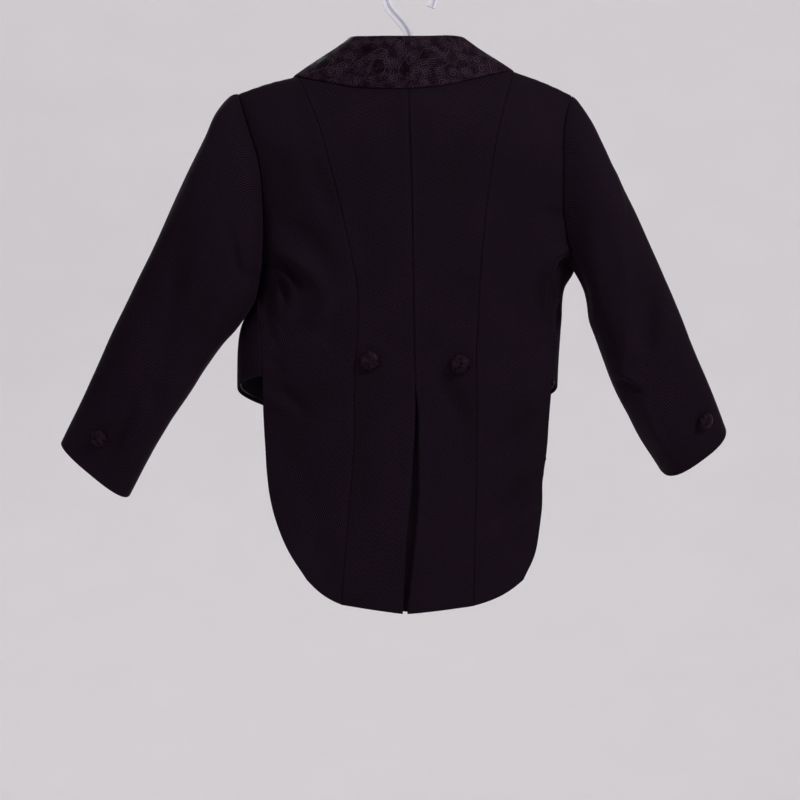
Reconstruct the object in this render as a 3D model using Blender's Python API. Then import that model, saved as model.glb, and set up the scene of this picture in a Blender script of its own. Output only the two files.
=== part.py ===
"""A child's evening tailcoat hanging on a moulded hanger.

The frame: the origin is where a rail bears inside the top of the hanger's hook, +Z is up, the coat faces -Y
and +X is the wearer's left. Every table is in millimetres, and "drop" is a distance below the origin.
The coat's body is one smooth surface, reached by an angle round the body (0 at the centre back, 90 at the
side, 180 at the centre front, positive on the wearer's left) and a drop. Each panel is a wall cut from it.
"""

import math
from collections import namedtuple

import bmesh
import bpy
import numpy as np

MM = 0.001

CLOTH = 2.0  # suiting with its interlining
FACING = 1.2  # satin lining and vent facing
COLLAR_CLOTH = 1.8
SEAM_GAP = 0.5  # between two pieces that are sewn together
LAY_GAP = 0.6  # between a piece and the cloth that it lies on

SQUARENESS = 2.3  # exponent of the body's rounded sections, 2 for an ellipse
SLEEVE_SQUARENESS = 2.6  # and of the sleeves'
BACK_ROUNDING = 75.0  # height over which the back rolls up to the shoulder line
FRONT_ROUNDING = 62.0

WAIST_BUTTON = 17.0  # diameters
CUFF_BUTTON = 14.0
BUTTON_STEPS = 16

HOOK_SEAT_RADIUS = 17.0
HOOK_WIDTH = 8.0
HOOK_DEPTH = 6.0
ARM_WIDTH = 12.0
ARM_DEPTH = 8.0

# Half widths to the wearer's left and right, and depths behind and before, of the body's sections.
Section = namedtuple("Section", "drop left right back front")
BODY = [
    Section(60, 162.0, 157.0, 34, 36),
    Section(105, 159.5, 154.5, 39, 42),
    Section(145, 154.4, 151.6, 44, 48),
    Section(190, 149.7, 149.5, 48, 52),
    Section(232, 137.4, 146.5, 50, 54),
    Section(258, 130.6, 142.0, 50, 54),
    Section(271, 131.8, 134.4, 49.5, 53.5),
    Section(286, 137.2, 132.2, 49, 53),
    Section(296, 143.0, 132.0, 48.5, 52.5),
    Section(308, 147.4, 131.0, 48, 52),
    Section(345, 150.0, 128.6, 45, 49),
    Section(400, 148.0, 127.0, 44, 47),
    Section(470, 148.0, 124.0, 43, 46),
    Section(560, 148.0, 121.0, 41, 45),
]

# The line where back and front meet over the shoulders, across the coat.
Ridge = namedtuple("Ridge", "x drop")
SHOULDER_LINE = [
    Ridge(-165, 119.0),
    Ridge(-140.4, 104.7),
    Ridge(-130, 99.3),
    Ridge(-109, 90.4),
    Ridge(-89, 83.8),
    Ridge(-56, 73.5),
    Ridge(-25, 64.5),
    Ridge(0, 61.0),
    Ridge(25, 65.0),
    Ridge(58, 75.4),
    Ridge(98, 88.0),
    Ridge(120, 93.2),
    Ridge(148.6, 103.1),
    Ridge(165, 110.6),
]
NECK_LEFT, NECK_RIGHT = 58.0, -56.0  # where the neck seam meets the shoulder line
NECK_DROP = 82.0  # of the neck seam at the centre back

# Seams of the back: x against drop.
Seam = namedtuple("Seam", "drop x")
VENT_TOP = 355.0
CENTRE_SEAM = [
    Seam(60, 0.0), Seam(82, 0.2), Seam(100, 0.9), Seam(116, 1.3), Seam(145, 0.3), Seam(189, -1.2),
    Seam(248, -2.2), Seam(306, -3.1), Seam(340, -3.9), Seam(354, -4.4), Seam(VENT_TOP, -4.4),
]  # fmt: skip
VENT_LEFT = [
    Seam(380, -4.3), Seam(403, -3.4), Seam(421, -2.3), Seam(442, -0.9), Seam(460, 0.5), Seam(480, 2.4),
    Seam(510, 4.5), Seam(545, 6.0), Seam(560, 6.5),
]  # fmt: skip
VENT_RIGHT = [
    Seam(380, -7.1), Seam(403, -7.2), Seam(421, -7.3), Seam(450, -7.3), Seam(467, -6.2), Seam(480, -5.2),
    Seam(510, -2.1), Seam(545, 1.7), Seam(560, 3.2),
]  # fmt: skip
PRINCESS_LEFT = [
    Seam(90, 96.3), Seam(104, 89.8), Seam(135, 77.6), Seam(172, 67.5), Seam(218, 56.3), Seam(251, 48.9),
    Seam(273, 45.3), Seam(306, 44.9), Seam(361, 47.7), Seam(411, 48.2), Seam(460, 52.3), Seam(503, 55.8),
    Seam(545, 59.0),
]  # fmt: skip
PRINCESS_RIGHT = [
    Seam(87, -89.0), Seam(127, -77.9), Seam(161, -71.0), Seam(208, -64.6), Seam(250, -60.6), Seam(306, -57.6),
    Seam(331, -56.5), Seam(381, -57.0), Seam(441, -56.8), Seam(480, -55.7), Seam(546, -54.2),
]  # fmt: skip

# The outer edge of each side back panel: its armhole, then its side seam, then the free edge of its tail.
Edge = namedtuple("Edge", "x drop")
ARMHOLE_BACK_LEFT = [
    Edge(148.6, 103.1), Edge(147.4, 107.8), Edge(143.2, 121.5), Edge(137.2, 140), Edge(131.7, 158),
    Edge(128.4, 178), Edge(126.8, 200), Edge(126.7, 222), Edge(127.1, 243), Edge(128.6, 259),
]  # fmt: skip
ARMHOLE_BACK_RIGHT = [
    Edge(-140.4, 104.7), Edge(-138.8, 109.5), Edge(-134.9, 122), Edge(-131.9, 140), Edge(-131.5, 160),
    Edge(-131.5, 180), Edge(-131.9, 199), Edge(-134.0, 217), Edge(-137.4, 234), Edge(-140.0, 250),
]  # fmt: skip
SIDE_SEAM_LEFT = [
    Edge(129.2, 269), Edge(129.5, 281), Edge(129.5, 293), Edge(129.1, 306), Edge(128.6, 320), Edge(127.8, 334),
    Edge(127.2, 347),
]  # fmt: skip
SIDE_SEAM_RIGHT = [
    Edge(-137.3, 257), Edge(-132.6, 264), Edge(-129.2, 271), Edge(-127.0, 280), Edge(-125.8, 291),
    Edge(-125.0, 304), Edge(-124.2, 319), Edge(-123.2, 335), Edge(-122.4, 350),
]  # fmt: skip
TAIL_EDGE_LEFT = [
    Edge(126.6, 362), Edge(126.2, 380), Edge(125.4, 402), Edge(123.5, 430), Edge(120.0, 454),
    Edge(113.8, 476), Edge(104.4, 498.5), Edge(88.6, 522.5),
]  # fmt: skip
TAIL_EDGE_RIGHT = [
    Edge(-121.3, 367), Edge(-119.5, 392), Edge(-117.0, 421), Edge(-114.4, 450), Edge(-111.8, 478),
    Edge(-107.5, 502), Edge(-98.0, 523),
]  # fmt: skip
TAIL_HEM_CENTRE = 551.5  # drop of the tails at the vent
TAIL_HEM_LEFT = 543.8  # and where the side back seams reach the hem
TAIL_HEM_RIGHT = 544.7

# The rest of each armhole, from the shoulder round the front and under the arm to the side seam.
Turn = namedtuple("Turn", "angle drop")
ARMHOLE_FRONT_LEFT = [
    Turn(114.5, 108), Turn(114.0, 122), Turn(118.4, 140), Turn(123.6, 160), Turn(126.5, 180), Turn(127.5, 200),
    Turn(126.5, 218), Turn(122.5, 234), Turn(115.0, 246), Turn(104.0, 253.5), Turn(92.5, 257.4), Turn(83.0, 259),
]  # fmt: skip
ARMHOLE_FRONT_RIGHT = [
    Turn(113.8, 109.5), Turn(113.2, 122), Turn(117.8, 140), Turn(122.5, 160), Turn(124.5, 180), Turn(124.5, 198),
    Turn(121.5, 214), Turn(115.5, 228), Turn(107.5, 238.5), Turn(99.0, 245), Turn(91.0, 248.6), Turn(84.0, 249.8),
]  # fmt: skip
FRONT_POINT_DROP = 405.0  # the lowest corner of a front
FRONT_POINT_X = 13.0
FRONT_HEM_BOW = -6.0  # how far the hem of a front runs above a straight line

# The shawl collar, a row for each station from the centre back over the shoulder. seam_x is where it joins
# the neck, roll is the middle of its fold as x, y and drop, and the edge of its fall lies on the back.
Station = namedtuple("Station", "seam_x roll edge_x edge_drop")
COLLAR_LEFT = [
    Station(0, (0, 25.5, 59.2), 0, 101.8),
    Station(19, (19, 24.5, 59.0), 26, 101.3),
    Station(36, (36.5, 20.5, 58.8), 51, 99.1),
    Station(48, (47.4, 12.5, 58.0), 73, 94.3),
    Station(55, (51.4, 3.5, 58.4), 90, 90.5),
    Station(58, (51.8, -6.0, 61.0), 99.6, 88.6),
]
COLLAR_RIGHT = [
    Station(0, (0, 25.5, 59.2), 0, 101.8),
    Station(18, (17, 24.5, 59.0), 23, 99.7),
    Station(34, (33.6, 20.5, 58.2), 45, 94.9),
    Station(46, (43.0, 12.5, 58.2), 64, 89.6),
    Station(53, (46.4, 3.5, 58.8), 79, 85.8),
    Station(56, (47.0, -6.0, 61.8), 88.4, 83.7),
]
FOLD_RADIUS = 3.2
# Its lapels, down the fronts: lift is the height of the fold's middle above the front, and the outer edges
# of the left and right lapels differ near the shoulders.
Lapel = namedtuple("Lapel", "roll_x roll_drop lift radius edge_x edge_drop right_x right_drop")
LAPELS = [
    Lapel(50.6, 77, 12.8, 3.2, 101.5, 93, 90.3, 88.5),
    Lapel(49.4, 86, 9.2, 3.1, 103.5, 101, 92.6, 97),
    Lapel(48.4, 98, 6.4, 3.0, 104.0, 117, 95.0, 113),
    Lapel(46.0, 115, 4.2, 2.8, 101.0, 142, 95.5, 139),
    Lapel(42.0, 140, 2.2, 2.6, 94.0, 172, 91.5, 170),
    Lapel(36.4, 172, 1.6, 2.4, 83.0, 205, 82.0, 204),
    Lapel(29.5, 210, 1.4, 2.3, 68.0, 241, 68.0, 241),
    Lapel(22.0, 250, 1.3, 2.2, 51.0, 275, 51.0, 275),
    Lapel(14.5, 290, 1.2, 2.1, 33.0, 307, 33.0, 307),
    Lapel(9.0, 322, 1.1, 2.0, 20.0, 331, 20.0, 331),
    Lapel(6.5, 340, 1.1, 2.0, 12.5, 344, 12.5, 344),
]
LAPEL_TUCK = 8.0
COLLAR_LIFT = 2.6  # of the middle of the fall's edge above the cloth that it lies on

# Sleeves: the outer and inner points of the inside of each ring as seen from behind, then its half depth,
# the y of its middle and how far the ring leans forward, in degrees.
Ring = namedtuple("Ring", "outer_x outer_drop inner_x inner_drop depth y lean")
SLEEVE_LEFT = [
    Ring(156.0, 107.4, 132.6, 270.5, 34, 10, 0),
    Ring(167.6, 122.4, 135.2, 283, 35, 15, 0),
    Ring(175.8, 141.4, 142.6, 296, 36, 16, 0),
    Ring(187.2, 165.4, 151.2, 307.5, 36, 14, 0),
    Ring(201.4, 194.0, 162.9, 320.4, 35, 10, 0),
    Ring(215.8, 223.8, 174.3, 336.4, 33, 6, 2),
    Ring(229.8, 253.8, 185.0, 352.6, 31, 5, 4),
    Ring(244.6, 284.4, 196.3, 369.1, 29, 3, 6),
    Ring(258.6, 314.0, 208.6, 386.8, 27.5, 0, 8),
    Ring(272.2, 343.8, 220.2, 405.5, 26, -4, 10),
    Ring(287.2, 374.0, 232.8, 428.9, 25, -9, 12),
    Ring(303.2, 404.6, 246.2, 451.6, 24, -14, 13),
]
SLEEVE_RIGHT = [
    Ring(-146.8, 112.0, -145.5, 262, 33, 2, 0),
    Ring(-157.5, 128.5, -150.6, 273, 34, 4, 0),
    Ring(-166.8, 148.0, -153.6, 285, 35, 5, 0),
    Ring(-177.2, 170.0, -156.2, 299, 35, 6, 0),
    Ring(-190.0, 196.0, -161.6, 313, 34, 6, 0),
    Ring(-203.1, 225.0, -167.1, 329, 33, 5, 4),
    Ring(-217.0, 256.0, -173.4, 346, 31, 3, 9),
    Ring(-229.8, 286.0, -180.8, 362, 29, -3, 15),
    Ring(-243.0, 316.0, -190.0, 379, 27.5, -11, 20),
    Ring(-255.7, 345.3, -199.4, 396.5, 26, -21, 24),
    Ring(-267.4, 369.8, -210.4, 413.5, 25, -32, 27),
    Ring(-276.6, 390.8, -223.6, 431.0, 24, -44, 29),
]
BLEND_OUT = (0.72, 0.45, 0.22, 0.08)  # how much of the armhole's own shape the first rings keep

# The largest folds, each a soft ridge (positive height) or trough along a bent line seen from behind or,
# on the fronts, from the front. via is where the line bends towards.
Fold = namedtuple("Fold", "start via end width height")
BACK_FOLDS = [
    Fold((127, 241), (86, 247), (70, 284), 8.0, 3.4),
    Fold((70, 284), (71, 300), (92, 308), 8.0, 2.8),
    Fold((121, 216), (84, 219), (64, 268), 11.0, -3.0),
    Fold((119, 253), (101, 256), (99, 284), 6.5, -3.6),
    Fold((121, 349), (106, 364), (88, 383), 8.0, -2.5),
    Fold((-112, 376), (-92, 404), (-66, 418), 10.0, -4.0),
    Fold((-110, 432), (-98, 462), (-70, 474), 11.0, -4.5),
    Fold((-110, 404), (-96, 430), (-66, 446), 9.0, 3.0),
    Fold((-100, 228), (-88, 300), (-84, 378), 11.0, -2.5),
    Fold((-135, 242), (-112, 250), (-115, 300), 8.0, 3.5),
]
FRONT_FOLDS = [
    Fold((118, 236), (94, 262), (84, 318), 10.0, -4.0),
    Fold((104, 226), (76, 262), (64, 330), 10.0, 3.0),
    Fold((-116, 228), (-96, 256), (-88, 306), 10.0, -4.0),
    Fold((-104, 214), (-82, 250), (-66, 322), 10.0, 3.0),
]
SLEEVE_FOLDS = [
    Fold((150, 228), (148, 250), (144, 272), 6.0, -3.5),
    Fold((236, 366), (248, 392), (264, 424), 7.0, -2.5),
    Fold((191, 209), (206, 290), (219, 376), 12.0, -2.5),
    Fold((-211, 284), (-209, 306), (-205, 329), 9.0, -3.5),
    Fold((-175, 350), (-186, 356), (-200, 356), 6.0, -3.5),
    Fold((-201, 360), (-203, 392), (-234, 426), 7.0, 3.0),
    Fold((-186, 308), (-184, 330), (-180, 344), 7.0, 3.0),
]

COLOURS = {
    "suiting": (0.012, 0.010, 0.013, 0.85),
    "jacquard": (0.014, 0.012, 0.014, 0.45),
    "satin": (0.010, 0.009, 0.011, 0.35),
    "button": (0.008, 0.007, 0.009, 0.2),
    "hanger": (0.78, 0.77, 0.82, 0.35),
}


def clear_scene():
    for old in list(bpy.data.objects):
        bpy.data.objects.remove(old, do_unlink=True)


def material(name):
    red, green, blue, roughness = COLOURS[name]
    made = bpy.data.materials.get(name) or bpy.data.materials.new(name)
    made.use_nodes = True
    shader = made.node_tree.nodes["Principled BSDF"]
    shader.inputs["Base Color"].default_value = (red, green, blue, 1.0)
    shader.inputs["Roughness"].default_value = roughness
    return made


def mesh_object(name, points, faces, finish, sharp_degrees=35.0):
    """A named object from points in millimetres, its faces turned outwards."""
    mesh = bpy.data.meshes.new(name)
    mesh.from_pydata([tuple(float(v) * MM for v in p) for p in points], [], faces)
    work = bmesh.new()
    work.from_mesh(mesh)
    bmesh.ops.recalc_face_normals(work, faces=work.faces)
    work.to_mesh(mesh)
    work.free()
    mesh.shade_smooth()
    mesh.set_sharp_from_angle(angle=math.radians(sharp_degrees))
    mesh.materials.append(material(finish))
    made = bpy.data.objects.new(name, mesh)
    bpy.context.collection.objects.link(made)
    return made


def smooth(at, rows, key, value):
    """A table's value column as a smooth curve of its key column, with no overshoot at its ends."""
    keys = np.array([getattr(row, key) for row in rows], float)
    values = np.array([getattr(row, value) for row in rows], float)
    at = np.clip(np.asarray(at, float), keys[0], keys[-1])
    steps = np.diff(keys)
    rises = np.diff(values) / steps
    slopes = np.concatenate([[rises[0]], (rises[1:] + rises[:-1]) / 2, [rises[-1]]])
    span = np.clip(np.searchsorted(keys, at, side="right") - 1, 0, len(steps) - 1)
    t = (at - keys[span]) / steps[span]
    return (
        values[span] * (2 * t**3 - 3 * t**2 + 1)
        + steps[span] * slopes[span] * (t**3 - 2 * t**2 + t)
        + values[span + 1] * (3 * t**2 - 2 * t**3)
        + steps[span] * slopes[span + 1] * (t**3 - t**2)
    )


def shoulder_drop(x):
    return smooth(x, SHOULDER_LINE, "x", "drop")


def fold_height(folds, x, drop, steps=16):
    """How far the folds lift the cloth at points of a flat view."""
    total = np.zeros_like(x)
    for fold in folds:
        start, via, end = (np.array(p, float) for p in (fold.start, fold.via, fold.end))
        t = np.linspace(0, 1, steps + 1)[:, None]
        line = (1 - t) ** 2 * start + 2 * t * (1 - t) * via + t**2 * end
        best = np.full(x.shape, np.inf)
        along = np.zeros_like(x)
        for i in range(steps):
            a, d = line[i], line[i + 1] - line[i]
            share = np.clip(((x - a[0]) * d[0] + (drop - a[1]) * d[1]) / (d @ d), 0, 1)
            away = np.hypot(x - a[0] - share * d[0], drop - a[1] - share * d[1])
            along = np.where(away < best, (i + share) / steps, along)
            best = np.minimum(best, away)
        taper = np.sin(np.pi * np.clip(along, 0.02, 0.98)) ** 0.6
        total += fold.height * taper * np.exp(-((best / fold.width) ** 2))
    return total


def section(drop, side):
    """Half width, back depth and front depth of the body at a drop, on the side of that sign."""
    half = np.where(side >= 0, smooth(drop, BODY, "drop", "left"), smooth(drop, BODY, "drop", "right"))
    return half, smooth(drop, BODY, "drop", "back"), smooth(drop, BODY, "drop", "front")


def angle_of(x, drop):
    """The angle round the back half of the body at which its surface passes x."""
    x = np.asarray(x, float)
    side = np.where(x >= 0, 1.0, -1.0)
    share = np.clip(np.abs(x) / section(drop, side)[0], 0, 0.9999)
    return side * np.degrees(np.arcsin(share ** (SQUARENESS / 2)))


def base_point(angle, drop):
    """A point of the body without its folds."""
    angle = (angle + 180) % 360 - 180
    side = np.where(angle >= 0, 1.0, -1.0)
    turn = np.radians(np.abs(angle))
    half, back, front = section(drop, side)
    across = np.abs(np.sin(turn)) ** (2 / SQUARENESS)
    through = np.abs(np.cos(turn)) ** (2 / SQUARENESS) * np.sign(np.cos(turn))
    x = side * half * across
    rounding = np.where(through >= 0, BACK_ROUNDING, FRONT_ROUNDING)
    below = np.clip((drop - shoulder_drop(x)) / rounding, 0, 1)
    y = np.where(through >= 0, back, front) * through * np.sqrt(1 - (1 - below) ** 2)
    return np.stack([x, y, -drop], axis=-1)


def normal_of(surface, angle, drop, turn_step=0.6, drop_step=1.2):
    """Outward unit normals of a surface of the body."""
    here = surface(angle, drop)
    round_it = surface(angle + turn_step, drop) - surface(angle - turn_step, drop)
    above = np.maximum(drop - drop_step, np.minimum(drop, shoulder_drop(here[..., 0]) + 0.02))
    down = surface(angle, drop + drop_step) - surface(angle, above)
    normal = np.cross(round_it, down)
    return normal / np.maximum(np.linalg.norm(normal, axis=-1, keepdims=True), 1e-9)


def body_point(angle, drop):
    """A point of the outer face of the body, folds included."""
    angle, drop = np.broadcast_arrays(np.asarray(angle, float), np.asarray(drop, float))
    base = base_point(angle, drop)
    x = base[..., 0]
    behind = np.clip(base[..., 1] / 12.0, 0, 1)
    before = np.clip(-base[..., 1] / 12.0, 0, 1)
    height = behind * fold_height(BACK_FOLDS, x, drop) + before * fold_height(FRONT_FOLDS, x, drop)
    return base + height[..., None] * normal_of(base_point, angle, drop)


def body_normal(angle, drop):
    return normal_of(body_point, np.asarray(angle, float), np.asarray(drop, float))


def wall_object(name, outer, inner, finish, closed=False):
    """A wall between two grids of points, with its rims. closed joins the last column to the first."""
    rows, columns = outer.shape[:2]
    points = list(outer.reshape(-1, 3)) + list(inner.reshape(-1, 3))
    back = rows * columns
    turns = columns if closed else columns - 1
    faces = []
    for r in range(rows - 1):
        for c in range(turns):
            a, b = r * columns + c, r * columns + (c + 1) % columns
            faces.append((a, b, b + columns, a + columns))
            faces.append((back + a, back + a + columns, back + b + columns, back + b))
    for r in (0, rows - 1):
        for c in range(turns):
            a, b = r * columns + c, r * columns + (c + 1) % columns
            faces.append((a, back + a, back + b, b))
    if not closed:
        for c in (0, columns - 1):
            for r in range(rows - 1):
                a, b = r * columns + c, (r + 1) * columns + c
                faces.append((a, b, back + b, back + a))
    return mesh_object(name, points, faces, finish)


def body_wall(name, angles, drops, finish, thickness, below=0.0, shoulder_side=0):
    """A panel of the body, cut from its surface at a grid of angles and drops and lying that far below it.

    shoulder_side is 1 or -1 where the first row runs along the shoulder line, for the back and the front.
    """
    outer = body_point(angles, drops)
    normal = body_normal(angles, drops)
    if shoulder_side:
        on_ridge = np.abs(drops[0] - shoulder_drop(outer[0, :, 0])) < 0.5
        normal[0, on_ridge, 1] = 0.0
        normal[0] /= np.linalg.norm(normal[0], axis=-1, keepdims=True)
        outer[0, on_ridge, 1] += shoulder_side * SEAM_GAP / 2
    outer = outer - below * normal
    return wall_object(name, outer, outer - thickness * normal, finish)


def between(low, high, share):
    return low[:, None] + (high - low)[:, None] * share[None, :]


def neck_drop(x, side):
    """Of the neck seam across the back."""
    neck_x = NECK_LEFT if side > 0 else NECK_RIGHT
    return NECK_DROP + (float(shoulder_drop(neck_x)) - NECK_DROP) * (np.abs(x) / abs(neck_x)) ** 2


def back_rows(side):
    """Outer edge of a side back panel, and the drops of its rows at the side back seam and centre back."""
    if side > 0:
        edge = ARMHOLE_BACK_LEFT + SIDE_SEAM_LEFT + TAIL_EDGE_LEFT
        seam, hem = PRINCESS_LEFT, TAIL_HEM_LEFT
    else:
        edge = ARMHOLE_BACK_RIGHT + SIDE_SEAM_RIGHT + TAIL_EDGE_RIGHT
        seam, hem = PRINCESS_RIGHT, TAIL_HEM_RIGHT
    outer_x = np.array([e.x for e in edge])
    outer_drop = np.array([e.drop for e in edge])
    share = (outer_drop - outer_drop[0]) / (outer_drop[-1] - outer_drop[0])
    seam_top = float(shoulder_drop(seam[0].x))
    seam_drop = seam_top + share * (hem - seam_top)
    centre_drop = NECK_DROP + share * (TAIL_HEM_CENTRE - NECK_DROP)
    return outer_x, outer_drop, seam, seam_drop, centre_drop


def side_back(side, name):
    """From the side back seam to the armhole, the side seam and the free edge of the tail."""
    outer_x, outer_drop, seam, seam_drop, _ = back_rows(side)
    share = np.linspace(0, 1, 10)
    drops = between(seam_drop, outer_drop, share)
    hem_bow = 2.5 * np.sin(np.pi * share)
    drops[-1] += hem_bow
    seam_x = smooth(seam_drop, seam, "drop", "x") + side * SEAM_GAP / 2
    angles = between(angle_of(seam_x, seam_drop), angle_of(outer_x - side * SEAM_GAP / 2, outer_drop), share)
    top_x = seam_x[0] + (outer_x[0] - seam_x[0]) * share
    drops[0] = shoulder_drop(top_x)
    angles[0] = angle_of(top_x, drops[0])
    return body_wall(name, angles, drops, "suiting", CLOTH, shoulder_side=1)


def centre_back(side, name):
    """From the centre back seam, and the vent below it, to the side back seam."""
    _, _, seam, seam_drop, centre_drop = back_rows(side)
    edge = CENTRE_SEAM + (VENT_LEFT if side > 0 else VENT_RIGHT)
    neck_x = NECK_LEFT if side > 0 else NECK_RIGHT
    top_x = np.array([0.0, neck_x / 3, neck_x * 2 / 3, neck_x, (neck_x + seam[0].x) / 2, seam[0].x])
    share = top_x / top_x[-1]
    drops = between(centre_drop, seam_drop, share)
    centre_x = smooth(centre_drop, edge, "drop", "x") + side * SEAM_GAP / 2
    seam_x = smooth(seam_drop, seam, "drop", "x") - side * SEAM_GAP / 2
    angles = between(angle_of(centre_x, centre_drop), angle_of(seam_x, seam_drop), share)
    drops[0] = np.where(np.abs(top_x) < abs(neck_x), neck_drop(top_x, side), shoulder_drop(top_x))
    top_x[0] += side * SEAM_GAP / 2
    top_x[-1] -= side * SEAM_GAP / 2
    angles[0] = angle_of(top_x, drops[0])
    return body_wall(name, angles, drops, "suiting", CLOTH, shoulder_side=1)


def front_rows(side):
    """Outer and inner edges of a front as angles and drops, a row for each."""
    if side > 0:
        tip, rest, seam = ARMHOLE_BACK_LEFT[0], ARMHOLE_FRONT_LEFT, [ARMHOLE_BACK_LEFT[-1]] + SIDE_SEAM_LEFT
    else:
        tip, rest, seam = ARMHOLE_BACK_RIGHT[0], ARMHOLE_FRONT_RIGHT, [ARMHOLE_BACK_RIGHT[-1]] + SIDE_SEAM_RIGHT
    tip_angle = 180 - abs(float(angle_of(tip.x, tip.drop)))
    seam_angles = [abs(float(angle_of(e.x + side * SEAM_GAP / 2, e.drop))) for e in seam]
    angle = np.array([tip_angle] + [t.angle for t in rest] + seam_angles) * side
    drop = np.array([tip.drop] + [t.drop for t in rest] + [e.drop for e in seam])
    points = body_point(angle, drop)
    length = np.concatenate([[0], np.cumsum(np.linalg.norm(np.diff(points, axis=0), axis=1))])
    neck_x = NECK_LEFT if side > 0 else NECK_RIGHT
    top = float(shoulder_drop(neck_x))
    inner_drop = top + length / length[-1] * (FRONT_POINT_DROP - top)
    below_break = [
        Seam(350, 6.0), Seam(370, 5.0), Seam(388, 7.0), Seam(FRONT_POINT_DROP, FRONT_POINT_X),
    ]  # fmt: skip
    line = [Seam(top, abs(neck_x))] + [Seam(drop, x) for x, drop in map(lapel_seam, LAPELS)] + below_break
    inner_x = side * (smooth(inner_drop, line, "drop", "x") + COLLAR_CLOTH / 2 + SEAM_GAP)
    inner_angle = side * 180 - angle_of(inner_x, inner_drop)
    return angle, drop, inner_angle, inner_drop, inner_x


def front_grid(side, share):
    """Angles and drops of a front's grid, its rows between its inner edge and its armhole and side seam."""
    angle, drop, inner_angle, inner_drop, inner_x = front_rows(side)
    drops = between(inner_drop, drop, share)
    angles = between(inner_angle, angle, share)
    drops[-1] += FRONT_HEM_BOW * np.sin(np.pi * share)
    tip_x = (ARMHOLE_BACK_LEFT if side > 0 else ARMHOLE_BACK_RIGHT)[0].x
    top_x = inner_x[0] + (tip_x - inner_x[0]) * share
    drops[0] = shoulder_drop(top_x)
    angles[0] = side * 180 - angle_of(top_x, drops[0])
    return angles, drops


def front(side, name):
    """From the lapel's seam and the front edge to the armhole and the side seam, with a pointed hem."""
    angles, drops = front_grid(side, np.linspace(0, 1, 11))
    return body_wall(name, angles, drops, "suiting", CLOTH, shoulder_side=-1)


def front_lining(side, name, rows=4):
    """The satin inside the lower front, which shows at the hem."""
    share = np.append(np.linspace(0.1, 0.9, 9), 0.95)
    angles, drops = front_grid(side, share)
    drops[-1] -= 3.0
    return body_wall(name, angles[-rows:], drops[-rows:], "satin", FACING, below=CLOTH + 1.6 * LAY_GAP)


def vent_facing(name, rows=12):
    """The strip behind the open vent, sewn inside the right tail and lying under the left one."""
    drop = np.linspace(VENT_TOP - 6, TAIL_HEM_CENTRE - 3, rows)
    x = np.array([-30.0, -16.0, -3.0, 8.0, 18.0])
    drops = np.repeat(drop[:, None], len(x), axis=1)
    angles = angle_of(np.repeat(x[None, :], rows, axis=0), drops)
    return body_wall(name, angles, drops, "suiting", FACING, below=CLOTH + LAY_GAP)


def armhole_loop(side):
    """The points of an armhole, from the shoulder down the back, under the arm and up the front."""
    table = ARMHOLE_BACK_LEFT if side > 0 else ARMHOLE_BACK_RIGHT
    back_drop = np.array([e.drop for e in table])
    back = body_point(angle_of(np.array([e.x for e in table]) - side * SEAM_GAP / 2, back_drop), back_drop)
    rest = ARMHOLE_FRONT_LEFT if side > 0 else ARMHOLE_FRONT_RIGHT
    front_angle = np.array([t.angle for t in rest]) * side
    front_drop = np.array([t.drop for t in rest])
    return np.concatenate([back, body_point(front_angle, front_drop)[::-1]]), len(table) - 1, len(rest) + 1


def ring_points(ring, turns, axis):
    """A ring of a sleeve: turns run from its outer point round its back to its inner point and on."""
    outer = np.array([ring.outer_x, 0, -ring.outer_drop])
    inner = np.array([ring.inner_x, 0, -ring.inner_drop])
    middle = (outer + inner) / 2 + np.array([0, ring.y, 0])
    lean = math.radians(ring.lean)
    deep = ring.depth * (np.array([0, math.cos(lean), 0]) + math.sin(lean) * axis)
    power = 2 / SLEEVE_SQUARENESS
    c = np.sign(np.cos(turns)) * np.abs(np.cos(turns)) ** power
    s = np.sign(np.sin(turns)) * np.abs(np.sin(turns)) ** power
    return middle + c[:, None] * (outer - inner) / 2 + s[:, None] * deep


def sleeve(side, name):
    """A tube of rings from the armhole to the open cuff."""
    loop, back_steps, front_steps = armhole_loop(side)
    turns = np.concatenate(
        [np.linspace(0, math.pi, back_steps + 1), np.linspace(math.pi, 2 * math.pi, front_steps + 1)[1:-1]]
    )
    table = SLEEVE_LEFT if side > 0 else SLEEVE_RIGHT
    middles = [((r.outer_x + r.inner_x) / 2, -(r.outer_drop + r.inner_drop) / 2) for r in table]
    rings = []
    for i, ring in enumerate(table):
        before, after = middles[max(i - 1, 0)], middles[min(i + 1, len(table) - 1)]
        axis = np.array([after[0] - before[0], 0, after[1] - before[1]])
        rings.append(ring_points(ring, turns, axis / np.linalg.norm(axis)))
    top, low = loop[0], loop[back_steps]
    plain = Ring(top[0], -top[2], low[0], -low[2], 33, 0, 0)
    own_shape = loop - ring_points(plain, turns, np.array([0.0, 0.0, -1.0]))
    for i, share in enumerate(BLEND_OUT):
        rings[i] = rings[i] + share * own_shape
    first = loop + np.array([side * 1.3 * SEAM_GAP, 0, 0])
    grid = np.stack([first] + rings)
    normal = grid_normals(grid, side)
    height = fold_height(SLEEVE_FOLDS, grid[..., 0], -grid[..., 2]) * (np.sin(turns) > 0.02)
    height[0] = 0
    inner = grid + height[..., None] * normal
    normal = grid_normals(inner, side)
    normal[0, :, 0] = 0
    normal /= np.linalg.norm(normal, axis=-1, keepdims=True)
    return wall_object(name, inner + CLOTH * normal, inner, "suiting", closed=True)


def grid_normals(grid, side):
    """Outward normals of a tube's grid, whose columns close on themselves."""
    round_it = np.roll(grid, -1, axis=1) - np.roll(grid, 1, axis=1)
    along = np.gradient(grid, axis=0)
    normal = np.cross(along, round_it) * side
    return normal / np.linalg.norm(normal, axis=-1, keepdims=True)


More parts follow.
